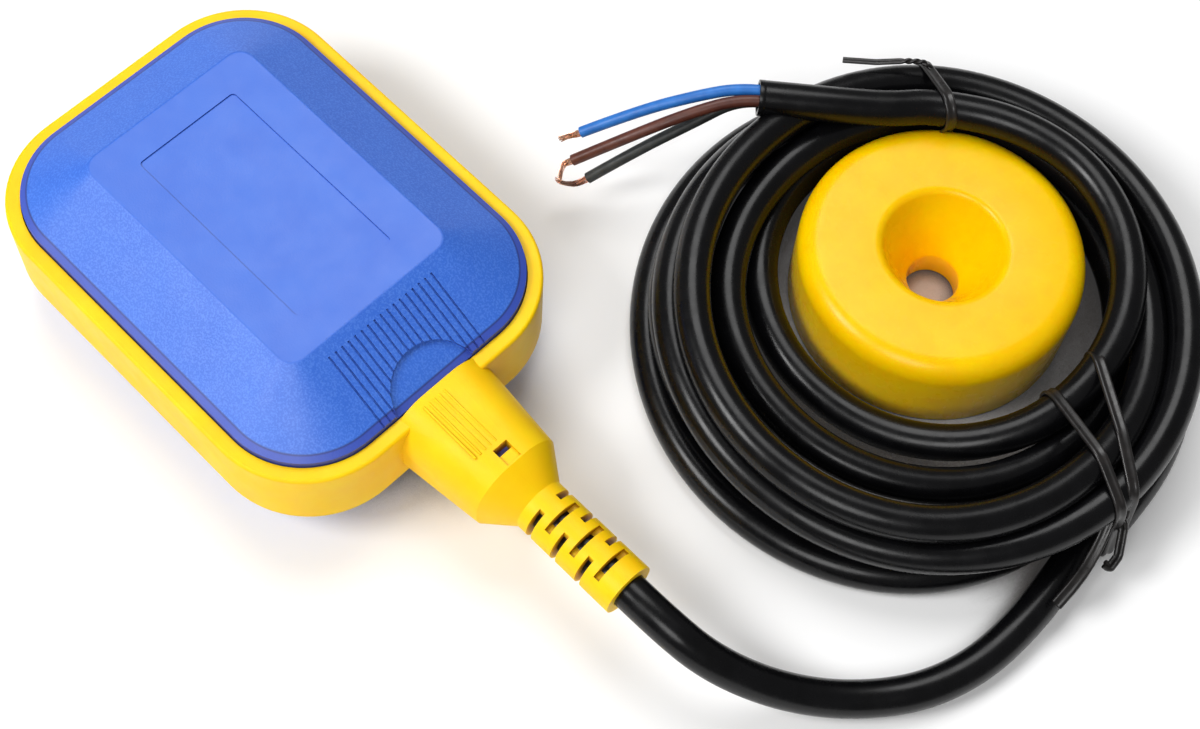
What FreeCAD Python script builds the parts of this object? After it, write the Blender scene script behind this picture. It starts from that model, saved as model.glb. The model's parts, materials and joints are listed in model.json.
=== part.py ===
"""Cable float switch: a hollow float with a ball-operated switch, its cable and its counterweight.

Frame: the origin is the centre of the float's underside, +X along the float towards its cable,
+Z up. Millimetres. The float, the coiled cable and the counterweight all lie on the plane z = 0.
"""
import FreeCAD, Part
import math
import os
import re
from FreeCAD import Placement, Rotation, Vector
from Sketcher import Constraint

doc = FreeCAD.newDocument("cable_float_switch")
sheet = doc.addObject("Spreadsheet::Sheet", "sizes")

# Driving sizes: name, value, what it is
DRIVING = [
    ("float_length", 106.8, "float over its band, along the cable"),
    ("float_width", 81.0, "float over its band, across the cable"),
    ("float_height", 41.5, "float from plateau to plateau"),
    ("float_corner", 22.7, "corner radius of the band in plan"),
    ("band_wall", 3.3, "thickness of the overmoulded band"),
    ("band_height", 18.1, "height of the band"),
    ("band_edge", 0.8, "rounding of the band's outer edges"),
    ("shell_gap", 0.25, "gap between a shell's side and the band"),
    ("shell_wall", 2.2, "wall of a shell"),
    ("shoulder_rise", 1.5, "height of a shell's side above the band"),
    ("flange_depth", 1.5, "how far a shell's flange reaches into the band"),
    ("flange_thick", 1.5, "thickness of each shell's flange"),
    ("plateau_length", 65.0, "flat top of a shell, along the cable"),
    ("plateau_width", 43.4, "flat top of a shell, across the cable"),
    ("plateau_corner", 3.6, "corner radius of the flat top"),
    ("plateau_edge", 1.0, "rounding where the flat top meets the slopes"),
    ("plateau_back", 1.0, "flat top's centre behind the float's centre"),
    ("panel_length", 49.4, "recessed panel, along the cable"),
    ("panel_width", 25.6, "recessed panel, across the cable"),
    ("panel_corner", 1.0, "corner radius of the panel"),
    ("panel_depth", 0.35, "depth of the panel"),
    ("grip_count", 17, "grip lines on the slope above the cable"),
    ("grip_pitch", 1.73, "spacing of the grip lines"),
    ("grip_width", 0.45, "width of a grip line"),
    ("grip_depth", 0.4, "depth of a grip line"),
    ("grip_start", 2.6, "grip lines' start, from the flat top's edge"),
    ("thumb_radius", 10.4, "thumb dimple's radius on the slope"),
    ("thumb_depth", 1.0, "thumb dimple's depth"),
    ("thumb_out", 1.4, "thumb dimple's middle beyond the shell's end"),
    ("neck_width", 26.0, "neck at the band"),
    ("neck_height", 23.0, "neck's height at the band"),
    ("neck_end_width", 21.8, "neck before its cone"),
    ("neck_end_height", 21.2, "neck's height before its cone"),
    ("neck_corner", 9.2, "corner radius of the neck's section"),
    ("neck_length", 20.1, "neck from the band to its cone"),
    ("cone_length", 6.8, "cone from the neck to the strain relief"),
    ("relief_length", 25.8, "strain relief after the cone"),
    ("relief_diameter", 12.2, "strain relief's outside"),
    ("slot_count", 3, "slots in each row of the strain relief"),
    ("slot_pitch", 6.95, "spacing of the slots in a row"),
    ("slot_width", 1.45, "width of a slot along the cable"),
    ("slot_start", 3.3, "first side slot's centre, from the cone"),
    ("slot_bridge", 4.4, "wall left between the two side slots"),
    ("slot_chord", 8.6, "length of a top or bottom slot"),
    ("slot_floor", 3.5, "top slot's floor above the cable's axis"),
    ("window_long", 3.7, "window in the neck, across the cable"),
    ("window_short", 1.7, "window in the neck, along the cable"),
    ("window_from_band", 15.4, "window's near edge from the band"),
    ("window_ramp", 2.6, "recess beside the window, along the cable"),
    ("window_recess", 0.7, "depth of the recess beside the window"),
    ("cable_diameter", 8.0, "three-core cable over its sheath"),
    ("core_diameter", 2.6, "insulated core"),
    ("core_ring", 1.62, "cores' distance from the cable's axis"),
    ("bore_clearance", 0.05, "radial clearance round what passes through"),
    ("clamp_side", 14.6, "cable clamp's square section"),
    ("clamp_corner", 2.0, "cable clamp's corner radius"),
    ("clamp_inside", 2.6, "cable clamp's reach into the float"),
    ("clamp_flange", 2.0, "thickness of the clamp's inner flange"),
    ("clamp_lip", 1.2, "flange's overhang round the clamp"),
    ("post_diameter", 6.4, "posts that carry the switch carrier"),
    ("post_spacing_x", 58.0, "carrier screws, along the cable"),
    ("post_spacing_y", 30.0, "carrier screws, across the cable"),
    ("carrier_thick", 2.0, "carrier's base plate"),
    ("carrier_margin", 5.0, "base plate round its screws"),
    ("screw_diameter", 2.2, "carrier screw's core"),
    ("screw_head", 4.4, "carrier screw's head"),
    ("screw_reach", 6.0, "carrier screw's thread in its post"),
    ("ball_diameter", 14.0, "steel ball"),
    ("ball_play", 0.4, "ball's clearance in its tunnel"),
    ("tunnel_gap", 5.65, "gap between the ball tunnel's end and the shell"),
    ("tunnel_wall", 1.6, "wall of the ball tunnel"),
    ("lid_thick", 1.4, "lid of the ball tunnel"),
    ("switch_front", -1.4, "snap switch's front face from the float's centre"),
    ("peg_edge", 2.8, "snap switch's end beyond its pegs' centres"),
    ("switch_depth", 15.9, "snap switch, along the cable"),
    ("switch_height", 10.3, "snap switch, over its cover"),
    ("switch_cover", 1.8, "snap switch's cover"),
    ("switch_wall", 1.5, "snap switch's wall"),
    ("switch_bay", 16.8, "snap switch's chamber, across the cable"),
    ("peg_diameter", 3.0, "carrier's pegs through the snap switch"),
    ("peg_spacing", 22.2, "pegs' spacing"),
    ("peg_back", 12.6, "pegs behind the snap switch's front face"),
    ("peg_rise", 1.0, "pegs' heads above the snap switch"),
    ("hinge_side", 12.5, "lever's hinge beside the switch's centre"),
    ("hinge_out", 2.4, "lever's hinge before the front face"),
    ("pin_diameter", 1.5, "lever's hinge pin"),
    ("lever_width", 3.0, "lever's width"),
    ("lever_thick", 0.6, "lever's sheet"),
    ("lever_length", 19.0, "lever from its hinge"),
    ("plunger_side", 4.0, "plunger beside the switch's centre"),
    ("plunger_diameter", 2.4, "plunger"),
    ("plunger_nose", 1.4, "plunger's end at the snap blade"),
    ("plunger_collar", 3.6, "plunger's collar"),
    ("rest_gap", 0.15, "gap between moving pieces that push each other"),
    ("blade_thick", 0.3, "snap blade's sheet"),
    ("blade_width", 2.4, "snap blade's width"),
    ("blade_pivot", 8.0, "snap blade's pivot beside the switch's centre"),
    ("blade_reach", 4.5, "moving contact on the other side of the centre"),
    ("contact_diameter", 2.0, "contact buttons"),
    ("contact_gap", 2.0, "open gap between the contacts"),
    ("tab_thick", 0.8, "terminal tabs"),
    ("tab_width", 4.2, "terminal tabs"),
    ("tab_pitch", 6.2, "spacing of the terminal tabs"),
    ("tab_length", 7.0, "terminal tabs outside the switch"),
    ("receptacle_length", 8.4, "push-on receptacle's box"),
    ("receptacle_wall", 0.5, "push-on receptacle's sheet"),
    ("receptacle_barrel", 3.6, "push-on receptacle's crimp barrel"),
    ("weight_diameter", 63.4, "counterweight"),
    ("weight_height", 22.0, "counterweight"),
    ("weight_edge", 5.0, "rounding of the counterweight's top edge"),
    ("weight_wall", 2.4, "counterweight's plastic wall"),
    ("weight_cap", 2.2, "counterweight's base cap"),
    ("funnel_diameter", 26.8, "funnel's mouth"),
    ("funnel_depth", 15.5, "funnel's depth"),
    ("throat_diameter", 11.6, "counterweight's straight bore"),
    ("weight_x", 98.2, "counterweight's centre"),
    ("weight_y", 105.4, "counterweight's centre"),
    ("coil_x", 104.0, "cable coil's centre"),
    ("coil_y", 93.0, "cable coil's centre"),
    ("coil_foot_radius", 61.6, "coil's outside at the floor"),
    ("coil_crown_radius", 56.5, "coil's outside at its shoulder"),
    ("coil_height", 23.5, "coil's height"),
    ("coil_edge", 3.6, "rounding of the coil's edges"),
    ("coil_hole_radius", 34.2, "open middle of the coil"),
    ("coil_hole_x", 100.2, "open middle's centre"),
    ("coil_hole_y", 104.6, "open middle's centre"),
    ("tie_width", 2.7, "twist tie's ribbon"),
    ("tie_thick", 0.9, "twist tie's ribbon"),
    ("tie_clearance", 0.3, "twist tie round the coil"),
    ("tie_sink", 2.0, "twist tie's inner leg in the coil's open middle"),
    ("tie_knot", 4.6, "twist tie's knot"),
    ("tie_twist", 1.5, "twist tie's twisted tail"),
    ("strand_diameter", 1.4, "bare copper at a core's end"),
    ("strand_tip", 0.9, "bare copper's tip"),
    ("strand_length", 4.2, "bare copper's length"),
]

# Sizes that follow from the driving ones
DERIVED = [
    ("mid_height", "float_height / 2"),
    ("band_bottom", "mid_height - band_height / 2"),
    ("shell_length", "float_length - 2 * (band_wall + shell_gap)"),
    ("shell_width", "float_width - 2 * (band_wall + shell_gap)"),
    ("shell_corner", "float_corner - band_wall - shell_gap"),
    ("opening_length", "float_length - 2 * band_wall"),
    ("opening_width", "float_width - 2 * band_wall"),
    ("opening_corner", "float_corner - band_wall"),
    ("flange_length", "opening_length + 2 * flange_depth"),
    ("flange_width", "opening_width + 2 * flange_depth"),
    ("flange_corner", "opening_corner + flange_depth"),
    ("shoulder_height", "band_height / 2 + shoulder_rise"),
    ("inner_length", "shell_length - 2 * shell_wall"),
    ("inner_width", "shell_width - 2 * shell_wall"),
    ("inner_corner", "shell_corner - shell_wall"),
    ("inner_top", "mid_height - shell_wall"),
    ("inner_shoulder", "shoulder_height - shell_wall"),
    ("inner_plateau_length", "plateau_length - shell_wall / 2"),
    ("inner_plateau_width", "plateau_width - shell_wall / 2"),
    ("inner_plateau_corner", "plateau_corner - shell_wall / 4"),
    ("neck_root", "opening_length / 2 + shell_gap"),
    ("band_face", "float_length / 2"),
    ("cone_root", "band_face + neck_length"),
    ("relief_root", "cone_root + cone_length"),
    ("relief_end", "relief_root + relief_length"),
    ("relief_corner", "relief_diameter / 2 - 0.02"),
    ("clamp_root", "inner_length / 2 - clamp_inside"),
    ("clamp_end", "cone_root - clamp_corner"),
    ("flange_side", "clamp_side + 2 * clamp_lip"),
    ("tunnel_bore", "ball_diameter + 2 * ball_play"),
    ("carrier_level", "mid_height - ball_diameter / 2 - rest_gap - carrier_thick"),
    ("ball_level", "carrier_level + carrier_thick + rest_gap + ball_diameter / 2"),
    ("lever_front", "switch_front - hinge_out - lever_thick / 2"),
    ("switch_width", "peg_spacing + 2 * peg_edge"),
    ("tunnel_root", "tunnel_gap - inner_length / 2"),
    ("tunnel_length", "lever_front - 2 * rest_gap - tunnel_root"),
    ("ball_start", "tunnel_root + tunnel_wall + rest_gap + ball_diameter / 2"),
    ("switch_floor", "ball_level - switch_height / 2"),
    ("case_height", "switch_height - switch_cover"),
    ("case_back", "switch_front + switch_depth"),
    ("bay_back", "case_back - switch_wall"),
    ("lug_front", "switch_front + switch_wall + rest_gap"),
    ("blade_front", "lug_front + tab_thick + rest_gap + blade_thick"),
    ("common_front", "blade_front + blade_thick + rest_gap"),
    ("open_front", "blade_front + 2 * blade_thick + contact_gap + rest_gap"),
    ("receptacle_root", "case_back + 2 * receptacle_wall"),
    ("barrel_end", "receptacle_root + receptacle_length + receptacle_barrel"),
]


def qualify(expression):
    """Point each name in an expression at its cell in the sheet."""
    return re.sub(r"[a-z]+(_[a-z]+)+", lambda match: "sizes." + match.group(0), expression)


def fill_sheet():
    row = 0
    for name, amount, meaning in DRIVING:
        row += 1
        sheet.set(f"A{row}", meaning)
        sheet.set(f"B{row}", str(amount))
        sheet.setAlias(f"B{row}", name)
    for name, formula in DERIVED:
        row += 1
        sheet.set(f"B{row}", "=" + formula)
        sheet.setAlias(f"B{row}", name)
    doc.recompute()


def size(name):
    return float(sheet.get(name))


def bind(thing, **expressions):
    """Bind properties of an object to expressions over the sheet; two underscores stand for a dot."""
    for path, expression in expressions.items():
        thing.setExpression(path.replace("__", "."), qualify(str(expression)))


# Building blocks of the PartDesign bodies
def new_body(label):
    body = doc.addObject("PartDesign::Body", label)
    body.Label = label
    return body


def origin_plane(body, role):
    return next(item for item in body.Origin.OriginFeatures if item.Role == role)


def new_sketch(body, name, role="XY_Plane", lift="0"):
    sketch = body.newObject("Sketcher::SketchObject", name)
    sketch.AttachmentSupport = [(origin_plane(body, role), "")]
    sketch.MapMode = "FlatFace"
    bind(sketch, AttachmentOffset__Base__z=lift)
    return sketch


def rounded_rectangle(sketch, length, width, corner, centre_x="0", centre_y=0.0):
    """Draw a rounded rectangle whose length, width, corner radius and centre follow the sheet."""
    long, wide, radius = size(length) / 2, size(width) / 2, size(corner)
    x = size(centre_x) if centre_x != "0" else 0.0
    y = centre_y
    corners = [(1, 1, 0), (-1, 1, 90), (-1, -1, 180), (1, -1, 270)]
    arcs = []
    for along, across, turn in corners:
        centre = Vector(x + along * (long - radius), y + across * (wide - radius), 0)
        circle = Part.Circle(centre, Vector(0, 0, 1), radius)
        arcs.append(Part.ArcOfCircle(circle, math.radians(turn), math.radians(turn + 90)))
    arc_ids = [sketch.addGeometry(arc, False) for arc in arcs]
    line_ids = []
    for here in range(4):
        there = (here + 1) % 4
        line_ids.append(sketch.addGeometry(Part.LineSegment(arcs[here].EndPoint, arcs[there].StartPoint), False))
    for here in range(4):
        there = (here + 1) % 4
        sketch.addConstraint(Constraint("Tangent", arc_ids[here], 2, line_ids[here], 1))
        sketch.addConstraint(Constraint("Tangent", line_ids[here], 2, arc_ids[there], 1))
        if here:
            sketch.addConstraint(Constraint("Equal", arc_ids[0], arc_ids[here]))
    sketch.addConstraint(Constraint("Horizontal", line_ids[0]))
    sketch.addConstraint(Constraint("Vertical", line_ids[1]))
    sketch.addConstraint(Constraint("Horizontal", line_ids[2]))
    sketch.addConstraint(Constraint("Vertical", line_ids[3]))
    measures = [
        ("Radius", (arc_ids[0],), radius, corner),
        ("DistanceX", (line_ids[1], 1, line_ids[3], 1), 2 * long, length),
        ("DistanceY", (line_ids[2], 1, line_ids[0], 1), 2 * wide, width),
    ]
    for kind, points, amount, name in measures:
        index = sketch.addConstraint(Constraint(kind, *points, amount))
        sketch.setExpression(f"Constraints[{index}]", qualify(name))
    index = sketch.addConstraint(Constraint("DistanceX", -1, 1, line_ids[3], 1, x + long))
    shift = "" if centre_x == "0" else f" + {centre_x}"
    sketch.setExpression(f"Constraints[{index}]", qualify(f"{length} / 2{shift}"))
    index = sketch.addConstraint(Constraint("DistanceY", -1, 1, line_ids[0], 1, y + wide))
    sketch.setExpression(f"Constraints[{index}]", qualify(f"{width} / 2 + {y}"))


def circle(sketch, diameter, x="0", y="0"):
    index = sketch.addGeometry(Part.Circle(Vector(0, 0, 0), Vector(0, 0, 1), size(diameter) / 2), False)
    constraint = sketch.addConstraint(Constraint("Diameter", index, size(diameter)))
    sketch.setExpression(f"Constraints[{constraint}]", qualify(diameter))
    sketch.addConstraint(Constraint("Coincident", index, 3, -1, 1))


def feature(body, kind, name, profile, **expressions):
    item = body.newObject("PartDesign::" + kind, name)
    item.Profile = profile
    bind(item, **expressions)
    return item


def loft(body, kind, name, first, *others):
    item = body.newObject("PartDesign::" + kind, name)
    item.Profile = first
    item.Sections = list(others)
    item.Ruled = True
    return item


def shaped_box(body, kind, name, length, width, height, x, y, z):
    """A PartDesign box by its lowest corner, added to or cut from a body."""
    item = body.newObject(f"PartDesign::{kind}Box", name)
    item.AttachmentSupport = [(origin_plane(body, "XY_Plane"), "")]
    item.MapMode = "FlatFace"
    bind(item, Length=length, Width=width, Height=height)
    bind(item, AttachmentOffset__Base__x=x, AttachmentOffset__Base__y=y, AttachmentOffset__Base__z=z)
    return item


def repeat(body, name, feature_to_repeat, sketch, direction, count, pitch):
    """Repeat a feature in a row, as often as the sheet says."""
    row = body.newObject("PartDesign::LinearPattern", name)
    row.Originals = [feature_to_repeat]
    row.Direction = (sketch, [direction])
    bind(row, Length=f"({count} - 1) * {pitch}", Occurrences=count)
    body.Tip = row
    return row


# Building blocks made of Part primitives
def box(name, length, width, height, x, y, z):
    item = doc.addObject("Part::Box", name)
    bind(item, Length=length, Width=width, Height=height)
    bind(item, Placement__Base__x=x, Placement__Base__y=y, Placement__Base__z=z)
    return item


AXES = {"x": Rotation(Vector(0, 1, 0), 90), "y": Rotation(Vector(1, 0, 0), -90), "z": Rotation()}


def rod(name, diameter, length, x, y, z, axis="z"):
    item = doc.addObject("Part::Cylinder", name)
    item.Placement = Placement(Vector(), AXES[axis])
    bind(item, Radius=f"({diameter}) / 2", Height=length)
    bind(item, Placement__Base__x=x, Placement__Base__y=y, Placement__Base__z=z)
    return item


def fuse(label, *pieces):
    item = doc.addObject("Part::MultiFuse", label)
    item.Shapes = list(pieces)
    item.Label = label
    return item


def cut(label, base, *tools):
    tool = tools[0]
    if len(tools) > 1:
        tool = fuse(label + "_tools", *tools)
    item = doc.addObject("Part::Cut", label)
    item.Base = base
    item.Tool = tool
    item.Label = label
    return item


def shape_feature(label, shape):
    item = doc.addObject("Part::Feature", label)
    item.Label = label
    item.Shape = shape
    return item


fill_sheet()


# The two shells of the float, each built with its parting plane at z = 0 and its plateau up
def make_shell(label):
    body = new_body(label)
    side = new_sketch(body, label + "_side_outline")
    rounded_rectangle(side, "shell_length", "shell_width", "shell_corner")
    feature(body, "Pad", label + "_side", side, Length="shoulder_height")
    shoulder = new_sketch(body, label + "_shoulder", lift="shoulder_height")
    rounded_rectangle(shoulder, "shell_length", "shell_width", "shell_corner")
    plateau = new_sketch(body, label + "_plateau", lift="mid_height")
    rounded_rectangle(plateau, "plateau_length", "plateau_width", "plateau_corner")
    bind(plateau, AttachmentOffset__Base__x="-plateau_back")
    slopes = loft(body, "AdditiveLoft", label + "_slopes", shoulder, plateau)
    doc.recompute()
    rounding = body.newObject("PartDesign::Fillet", label + "_plateau_edge")
    rounding.Base = (slopes, edges_at_height(slopes.Shape, size("mid_height")))
    bind(rounding, Radius="plateau_edge")
    flange = new_sketch(body, label + "_flange_outline")
    rounded_rectangle(flange, "flange_length", "flange_width", "flange_corner")
    feature(body, "Pad", label + "_flange", flange, Length="flange_thick")
    hollow_shell(body, label)
    dimple_and_grip(body, label)
    shaped_box(body, "Subtractive", label + "_cable_notch",
               "4 * shell_wall", "clamp_side", "clamp_side / 2",
               "inner_length / 2 - shell_wall", "-clamp_side / 2", "0")
    return body


def edges_at_height(shape, height):
    """Names of the edges that lie flat at a height."""
    names = []
    for number, edge in enumerate(shape.Edges, 1):
        bounds = edge.BoundBox
        if abs(bounds.ZMin - height) < 1e-4 and abs(bounds.ZMax - height) < 1e-4:
            names.append(f"Edge{number}")
    return names


def hollow_shell(body, label):
    inside = new_sketch(body, label + "_inside_outline")
    rounded_rectangle(inside, "inner_length", "inner_width", "inner_corner")
    lower = feature(body, "Pocket", label + "_inside", inside, Length="inner_shoulder")
    lower.Reversed = True
    start = new_sketch(body, label + "_ceiling_start", lift="inner_shoulder")
    rounded_rectangle(start, "inner_length", "inner_width", "inner_corner")
    end = new_sketch(body, label + "_ceiling", lift="inner_top")
    rounded_rectangle(end, "inner_plateau_length", "inner_plateau_width", "inner_plateau_corner")
    bind(end, AttachmentOffset__Base__x="-plateau_back")
    loft(body, "SubtractiveLoft", label + "_ceiling_slopes", start, end)


def dimple_and_grip(body, label):
    """The thumb dimple and the grip lines on the slope above the cable."""
    run = size("shell_length") / 2 + size("plateau_back") - size("plateau_length") / 2
    fall = size("mid_height") - size("shoulder_height")
    slope = math.atan2(fall, run)
    dimple = body.newObject("PartDesign::SubtractiveCylinder", label + "_thumb_dimple")
    dimple.AttachmentSupport = [(origin_plane(body, "XY_Plane"), "")]
    dimple.MapMode = "FlatFace"
    bind(dimple, Radius="thumb_radius", Height="6 * thumb_depth")
    beyond, deep = size("thumb_out"), size("thumb_depth")
    dimple.AttachmentOffset = Placement(
        Vector(size("shell_length") / 2 + beyond - deep * math.sin(slope), 0,
               size("shoulder_height") - beyond * math.tan(slope) - deep * math.cos(slope)),
        Rotation(Vector(0, 1, 0), math.degrees(slope)))
    line = new_sketch(body, label + "_grip_profile", role="XZ_Plane",
                      lift="-(grip_count - 1) * grip_pitch / 2")
    start_x = size("plateau_length") / 2 - size("plateau_back") + size("grip_start")
    end_x = size("shell_length") / 2 + 1
    depth = size("grip_depth") / math.cos(slope)

    def height(x):
        return size("shoulder_height") + (size("shell_length") / 2 - x) * math.tan(slope)

    points = [Vector(start_x, height(start_x) - depth, 0), Vector(end_x, height(end_x) - depth, 0),
              Vector(end_x, height(end_x) + 1, 0), Vector(start_x, height(start_x) + 1, 0)]
    for here, point in enumerate(points):
        line.addGeometry(Part.LineSegment(point, points[(here + 1) % 4]), False)
    for here in range(4):
        line.addConstraint(Constraint("Coincident", here, 2, (here + 1) % 4, 1))
    groove = feature(body, "Pocket", label + "_grip_line", line, Length="grip_width")
    groove.Midplane = True
    repeat(body, label + "_grip_lines", groove, line, "N_Axis", "grip_count", "grip_pitch")


def make_shells():
    upper = make_shell("upper_shell")
    panel = new_sketch(upper, "panel_outline", lift="mid_height")
    rounded_rectangle(panel, "panel_length", "panel_width", "panel_corner")
    bind(panel, AttachmentOffset__Base__x="-plateau_back")
    feature(upper, "Pocket", "panel", panel, Length="panel_depth")
    bind(upper, Placement__Base__z="mid_height")
    lower = make_shell("lower_shell")
    add_posts(lower)
    lower.Placement = Placement(Vector(), Rotation(Vector(1, 0, 0), 180))
    bind(lower, Placement__Base__z="mid_height")
    return [upper, lower]


def post_sketch(body, name, diameter):
    """Two circles for the posts on one side of the shell, at the carrier's underside."""
    posts = new_sketch(body, name, lift="mid_height - carrier_level")
    for side, sign in ((1, ""), (-1, "-")):
        place = Vector(side * size("post_spacing_x") / 2, size("post_spacing_y") / 2, 0)
        index = posts.addGeometry(Part.Circle(place, Vector(0, 0, 1), size(diameter) / 2), False)
        for kind, points, amount, expression in [
                ("Diameter", (index,), size(diameter), diameter),
                ("DistanceX", (-1, 1, index, 3), place.x, sign + "post_spacing_x / 2"),
                ("DistanceY", (-1, 1, index, 3), place.y, "post_spacing_y / 2")]:
            number = posts.addConstraint(Constraint(kind, *points, amount))
            posts.setExpression(f"Constraints[{number}]", qualify(expression))
    return posts


def add_posts(body):
    """Four posts that rise from the lower shell and take the carrier's screws."""
    outlines = post_sketch(body, "post_outlines", "post_diameter")
    posts = feature(body, "Pad", "screw_posts", outlines, Length="carrier_level - shell_wall / 2")
    pilots = post_sketch(body, "pilot_outlines", "screw_diameter")
    holes = feature(body, "Pocket", "screw_pilots", pilots, Length="screw_reach + bore_clearance")
    holes.Reversed = True
    across = body.newObject("PartDesign::Mirrored", "post_pairs")
    across.Originals = [posts, holes]
    across.MirrorPlane = (origin_plane(body, "XZ_Plane"), [""])
    body.Tip = across


def make_band():
    """The overmoulded band with its neck and slotted strain relief, all one piece."""
    body = new_body("float_band")
    outline = new_sketch(body, "band_outline", lift="band_bottom")
    rounded_rectangle(outline, "float_length", "float_width", "float_corner")
    pad = feature(body, "Pad", "band", outline, Length="band_height")
    doc.recompute()
    names = edges_at_height(pad.Shape, size("band_bottom"))
    names += edges_at_height(pad.Shape, size("band_bottom") + size("band_height"))
    rounding = body.newObject("PartDesign::Fillet", "band_edges")
    rounding.Base = (pad, names)
    bind(rounding, Radius="band_edge")
    sections = []
    for name, place, width, height, corner in [
            ("neck_root_section", "neck_root", "neck_width", "neck_height", "neck_corner"),
            ("neck_end_section", "cone_root", "neck_end_width", "neck_end_height", "neck_corner"),
            ("relief_section", "relief_root", "relief_diameter", "relief_diameter", "relief_corner")]:
        section = new_sketch(body, name, role="YZ_Plane", lift=place)
        rounded_rectangle(section, width, height, corner)
        bind(section, AttachmentOffset__Base__y="mid_height")
        sections.append(section)
    loft(body, "AdditiveLoft", "neck", *sections)
    relief = new_sketch(body, "relief_outline", role="YZ_Plane", lift="relief_root")
    bind(relief, AttachmentOffset__Base__y="mid_height")
    circle(relief, "relief_diameter")
    feature(body, "Pad", "strain_relief", relief, Length="relief_length")
    opening = new_sketch(body, "opening_outline", lift="band_bottom")
    rounded_rectangle(opening, "opening_length", "opening_width", "opening_corner")
    hole = feature(body, "Pocket", "shell_opening", opening, Length="band_height")
    hole.Reversed = True
    groove = new_sketch(body, "groove_outline", lift="mid_height - flange_thick")
    rounded_rectangle(groove, "flange_length", "flange_width", "flange_corner")
    ring = feature(body, "Pocket", "flange_groove", groove, Length="2 * flange_thick")
    ring.Reversed = True
    seat = new_sketch(body, "clamp_seat_outline", role="YZ_Plane", lift="inner_length / 2")
    rounded_rectangle(seat, "clamp_side", "clamp_side", "clamp_corner")
    bind(seat, AttachmentOffset__Base__y="mid_height")
    pocket = feature(body, "Pocket", "clamp_seat", seat, Length="clamp_end - inner_length / 2")
    pocket.Reversed = True
    bore = body.newObject("PartDesign::SubtractiveCylinder", "cable_bore")
    bore.AttachmentSupport = [(origin_plane(body, "YZ_Plane"), "")]
    bore.MapMode = "FlatFace"
    bind(bore, Radius="cable_diameter / 2 + bore_clearance", Height="relief_end")
    bind(bore, AttachmentOffset__Base__y="mid_height")
    cut_relief_slots(body)
    cut_window(body)
    return [body]


def cut_relief_slots(body):
    """Side slots and top and bottom slots take turns along the strain relief."""
    for side, place in (("left", "slot_bridge / 2"), ("right", "-relief_diameter")):
        notch = shaped_box(body, "Subtractive", side + "_slot", "slot_width", "relief_diameter - slot_bridge / 2",
                           "relief_diameter", "relief_root + slot_start - slot_width / 2", place,
                           "mid_height - relief_diameter / 2")
        repeat(body, side + "_slots", notch, body.Origin.OriginFeatures[0], "", "slot_count", "slot_pitch")
    for side, place in (("top", "mid_height + slot_floor"), ("bottom", "mid_height - slot_floor - relief_diameter")):
        notch = shaped_box(body, "Subtractive", side + "_slot", "slot_width", "slot_chord", "relief_diameter",
                           "relief_root + slot_start + slot_pitch / 2 - slot_width / 2", "-slot_chord / 2", place)
        repeat(body, side + "_slots", notch, body.Origin.OriginFeatures[0], "", "slot_count", "slot_pitch")


def cut_window(body):
    """A small window in the neck's top, through which the cable clamp shows, with a recess beside it."""
    shaped_box(body, "Subtractive", "window", "window_short", "window_long", "neck_height",
               "band_face + window_from_band", "-window_long / 2", "mid_height")
    shaped_box(body, "Subtractive", "window_side", "window_ramp", "window_long", "neck_height",
               "band_face + window_from_band + window_short", "-window_long / 2",
               "mid_height + neck_end_height / 2 - window_recess")


def make_clamp():
    """The clamp sleeve on the cable, which the neck is moulded over."""
    body = new_body("cable_clamp")
    sleeve = new_sketch(body, "sleeve_outline", role="YZ_Plane", lift="clamp_root")
    rounded_rectangle(sleeve, "clamp_side", "clamp_side", "clamp_corner")
    bind(sleeve, AttachmentOffset__Base__y="mid_height")
    feature(body, "Pad", "sleeve", sleeve, Length="clamp_end - clamp_root")
    flange = new_sketch(body, "clamp_flange_outline", role="YZ_Plane", lift="clamp_root")
    rounded_rectangle(flange, "flange_side", "flange_side", "clamp_corner")
    bind(flange, AttachmentOffset__Base__y="mid_height")
    feature(body, "Pad", "inner_flange", flange, Length="clamp_flange")
    bore = body.newObject("PartDesign::SubtractiveCylinder", "clamp_bore")
    bore.AttachmentSupport = [(origin_plane(body, "YZ_Plane"), "")]
    bore.MapMode = "FlatFace"
    bind(bore, Radius="cable_diameter / 2 + bore_clearance", Height="relief_end")
    bind(bore, AttachmentOffset__Base__y="mid_height")
    return [body]


# The switch inside the float
def make_carrier():
    """Base plate with the ball tunnel and the snap switch's pegs."""
    length = "post_spacing_x / 2 + carrier_margin - tunnel_root"
    width = "post_spacing_y + 2 * carrier_margin"
    plate = box("carrier_plate", length, width, "carrier_thick",
                "tunnel_root", "-post_spacing_y / 2 - carrier_margin", "carrier_level")
    floor = "carrier_level + carrier_thick"
    walls = box("tunnel_block", "tunnel_length", "tunnel_bore + 2 * tunnel_wall",
                "tunnel_bore", "tunnel_root", "-tunnel_bore / 2 - tunnel_wall", floor)
    channel = box("tunnel_channel", "tunnel_length", "tunnel_bore", "tunnel_bore + tunnel_wall",
                  "tunnel_root + tunnel_wall", "-tunnel_bore / 2", floor)
    table = box("switch_table", "switch_depth", "switch_width", "switch_floor - carrier_level - carrier_thick",
                "switch_front", "-switch_width / 2", floor)
    pegs = [rod(f"switch_peg_{side}", "peg_diameter", "switch_height + peg_rise", "switch_front + peg_back",
                f"{sign}peg_spacing / 2", "switch_floor")
            for side, sign in (("left", ""), ("right", "-"))]
    holes = [rod(f"screw_hole_{number}", "screw_diameter + 2 * bore_clearance", "3 * carrier_thick", x, y,
                 "carrier_level - carrier_thick")
             for number, (x, y) in enumerate(screw_places())]
    solid = fuse("carrier_solid", plate, walls, table, *pegs)
    return [cut("switch_carrier", solid, channel, *holes)]


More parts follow.
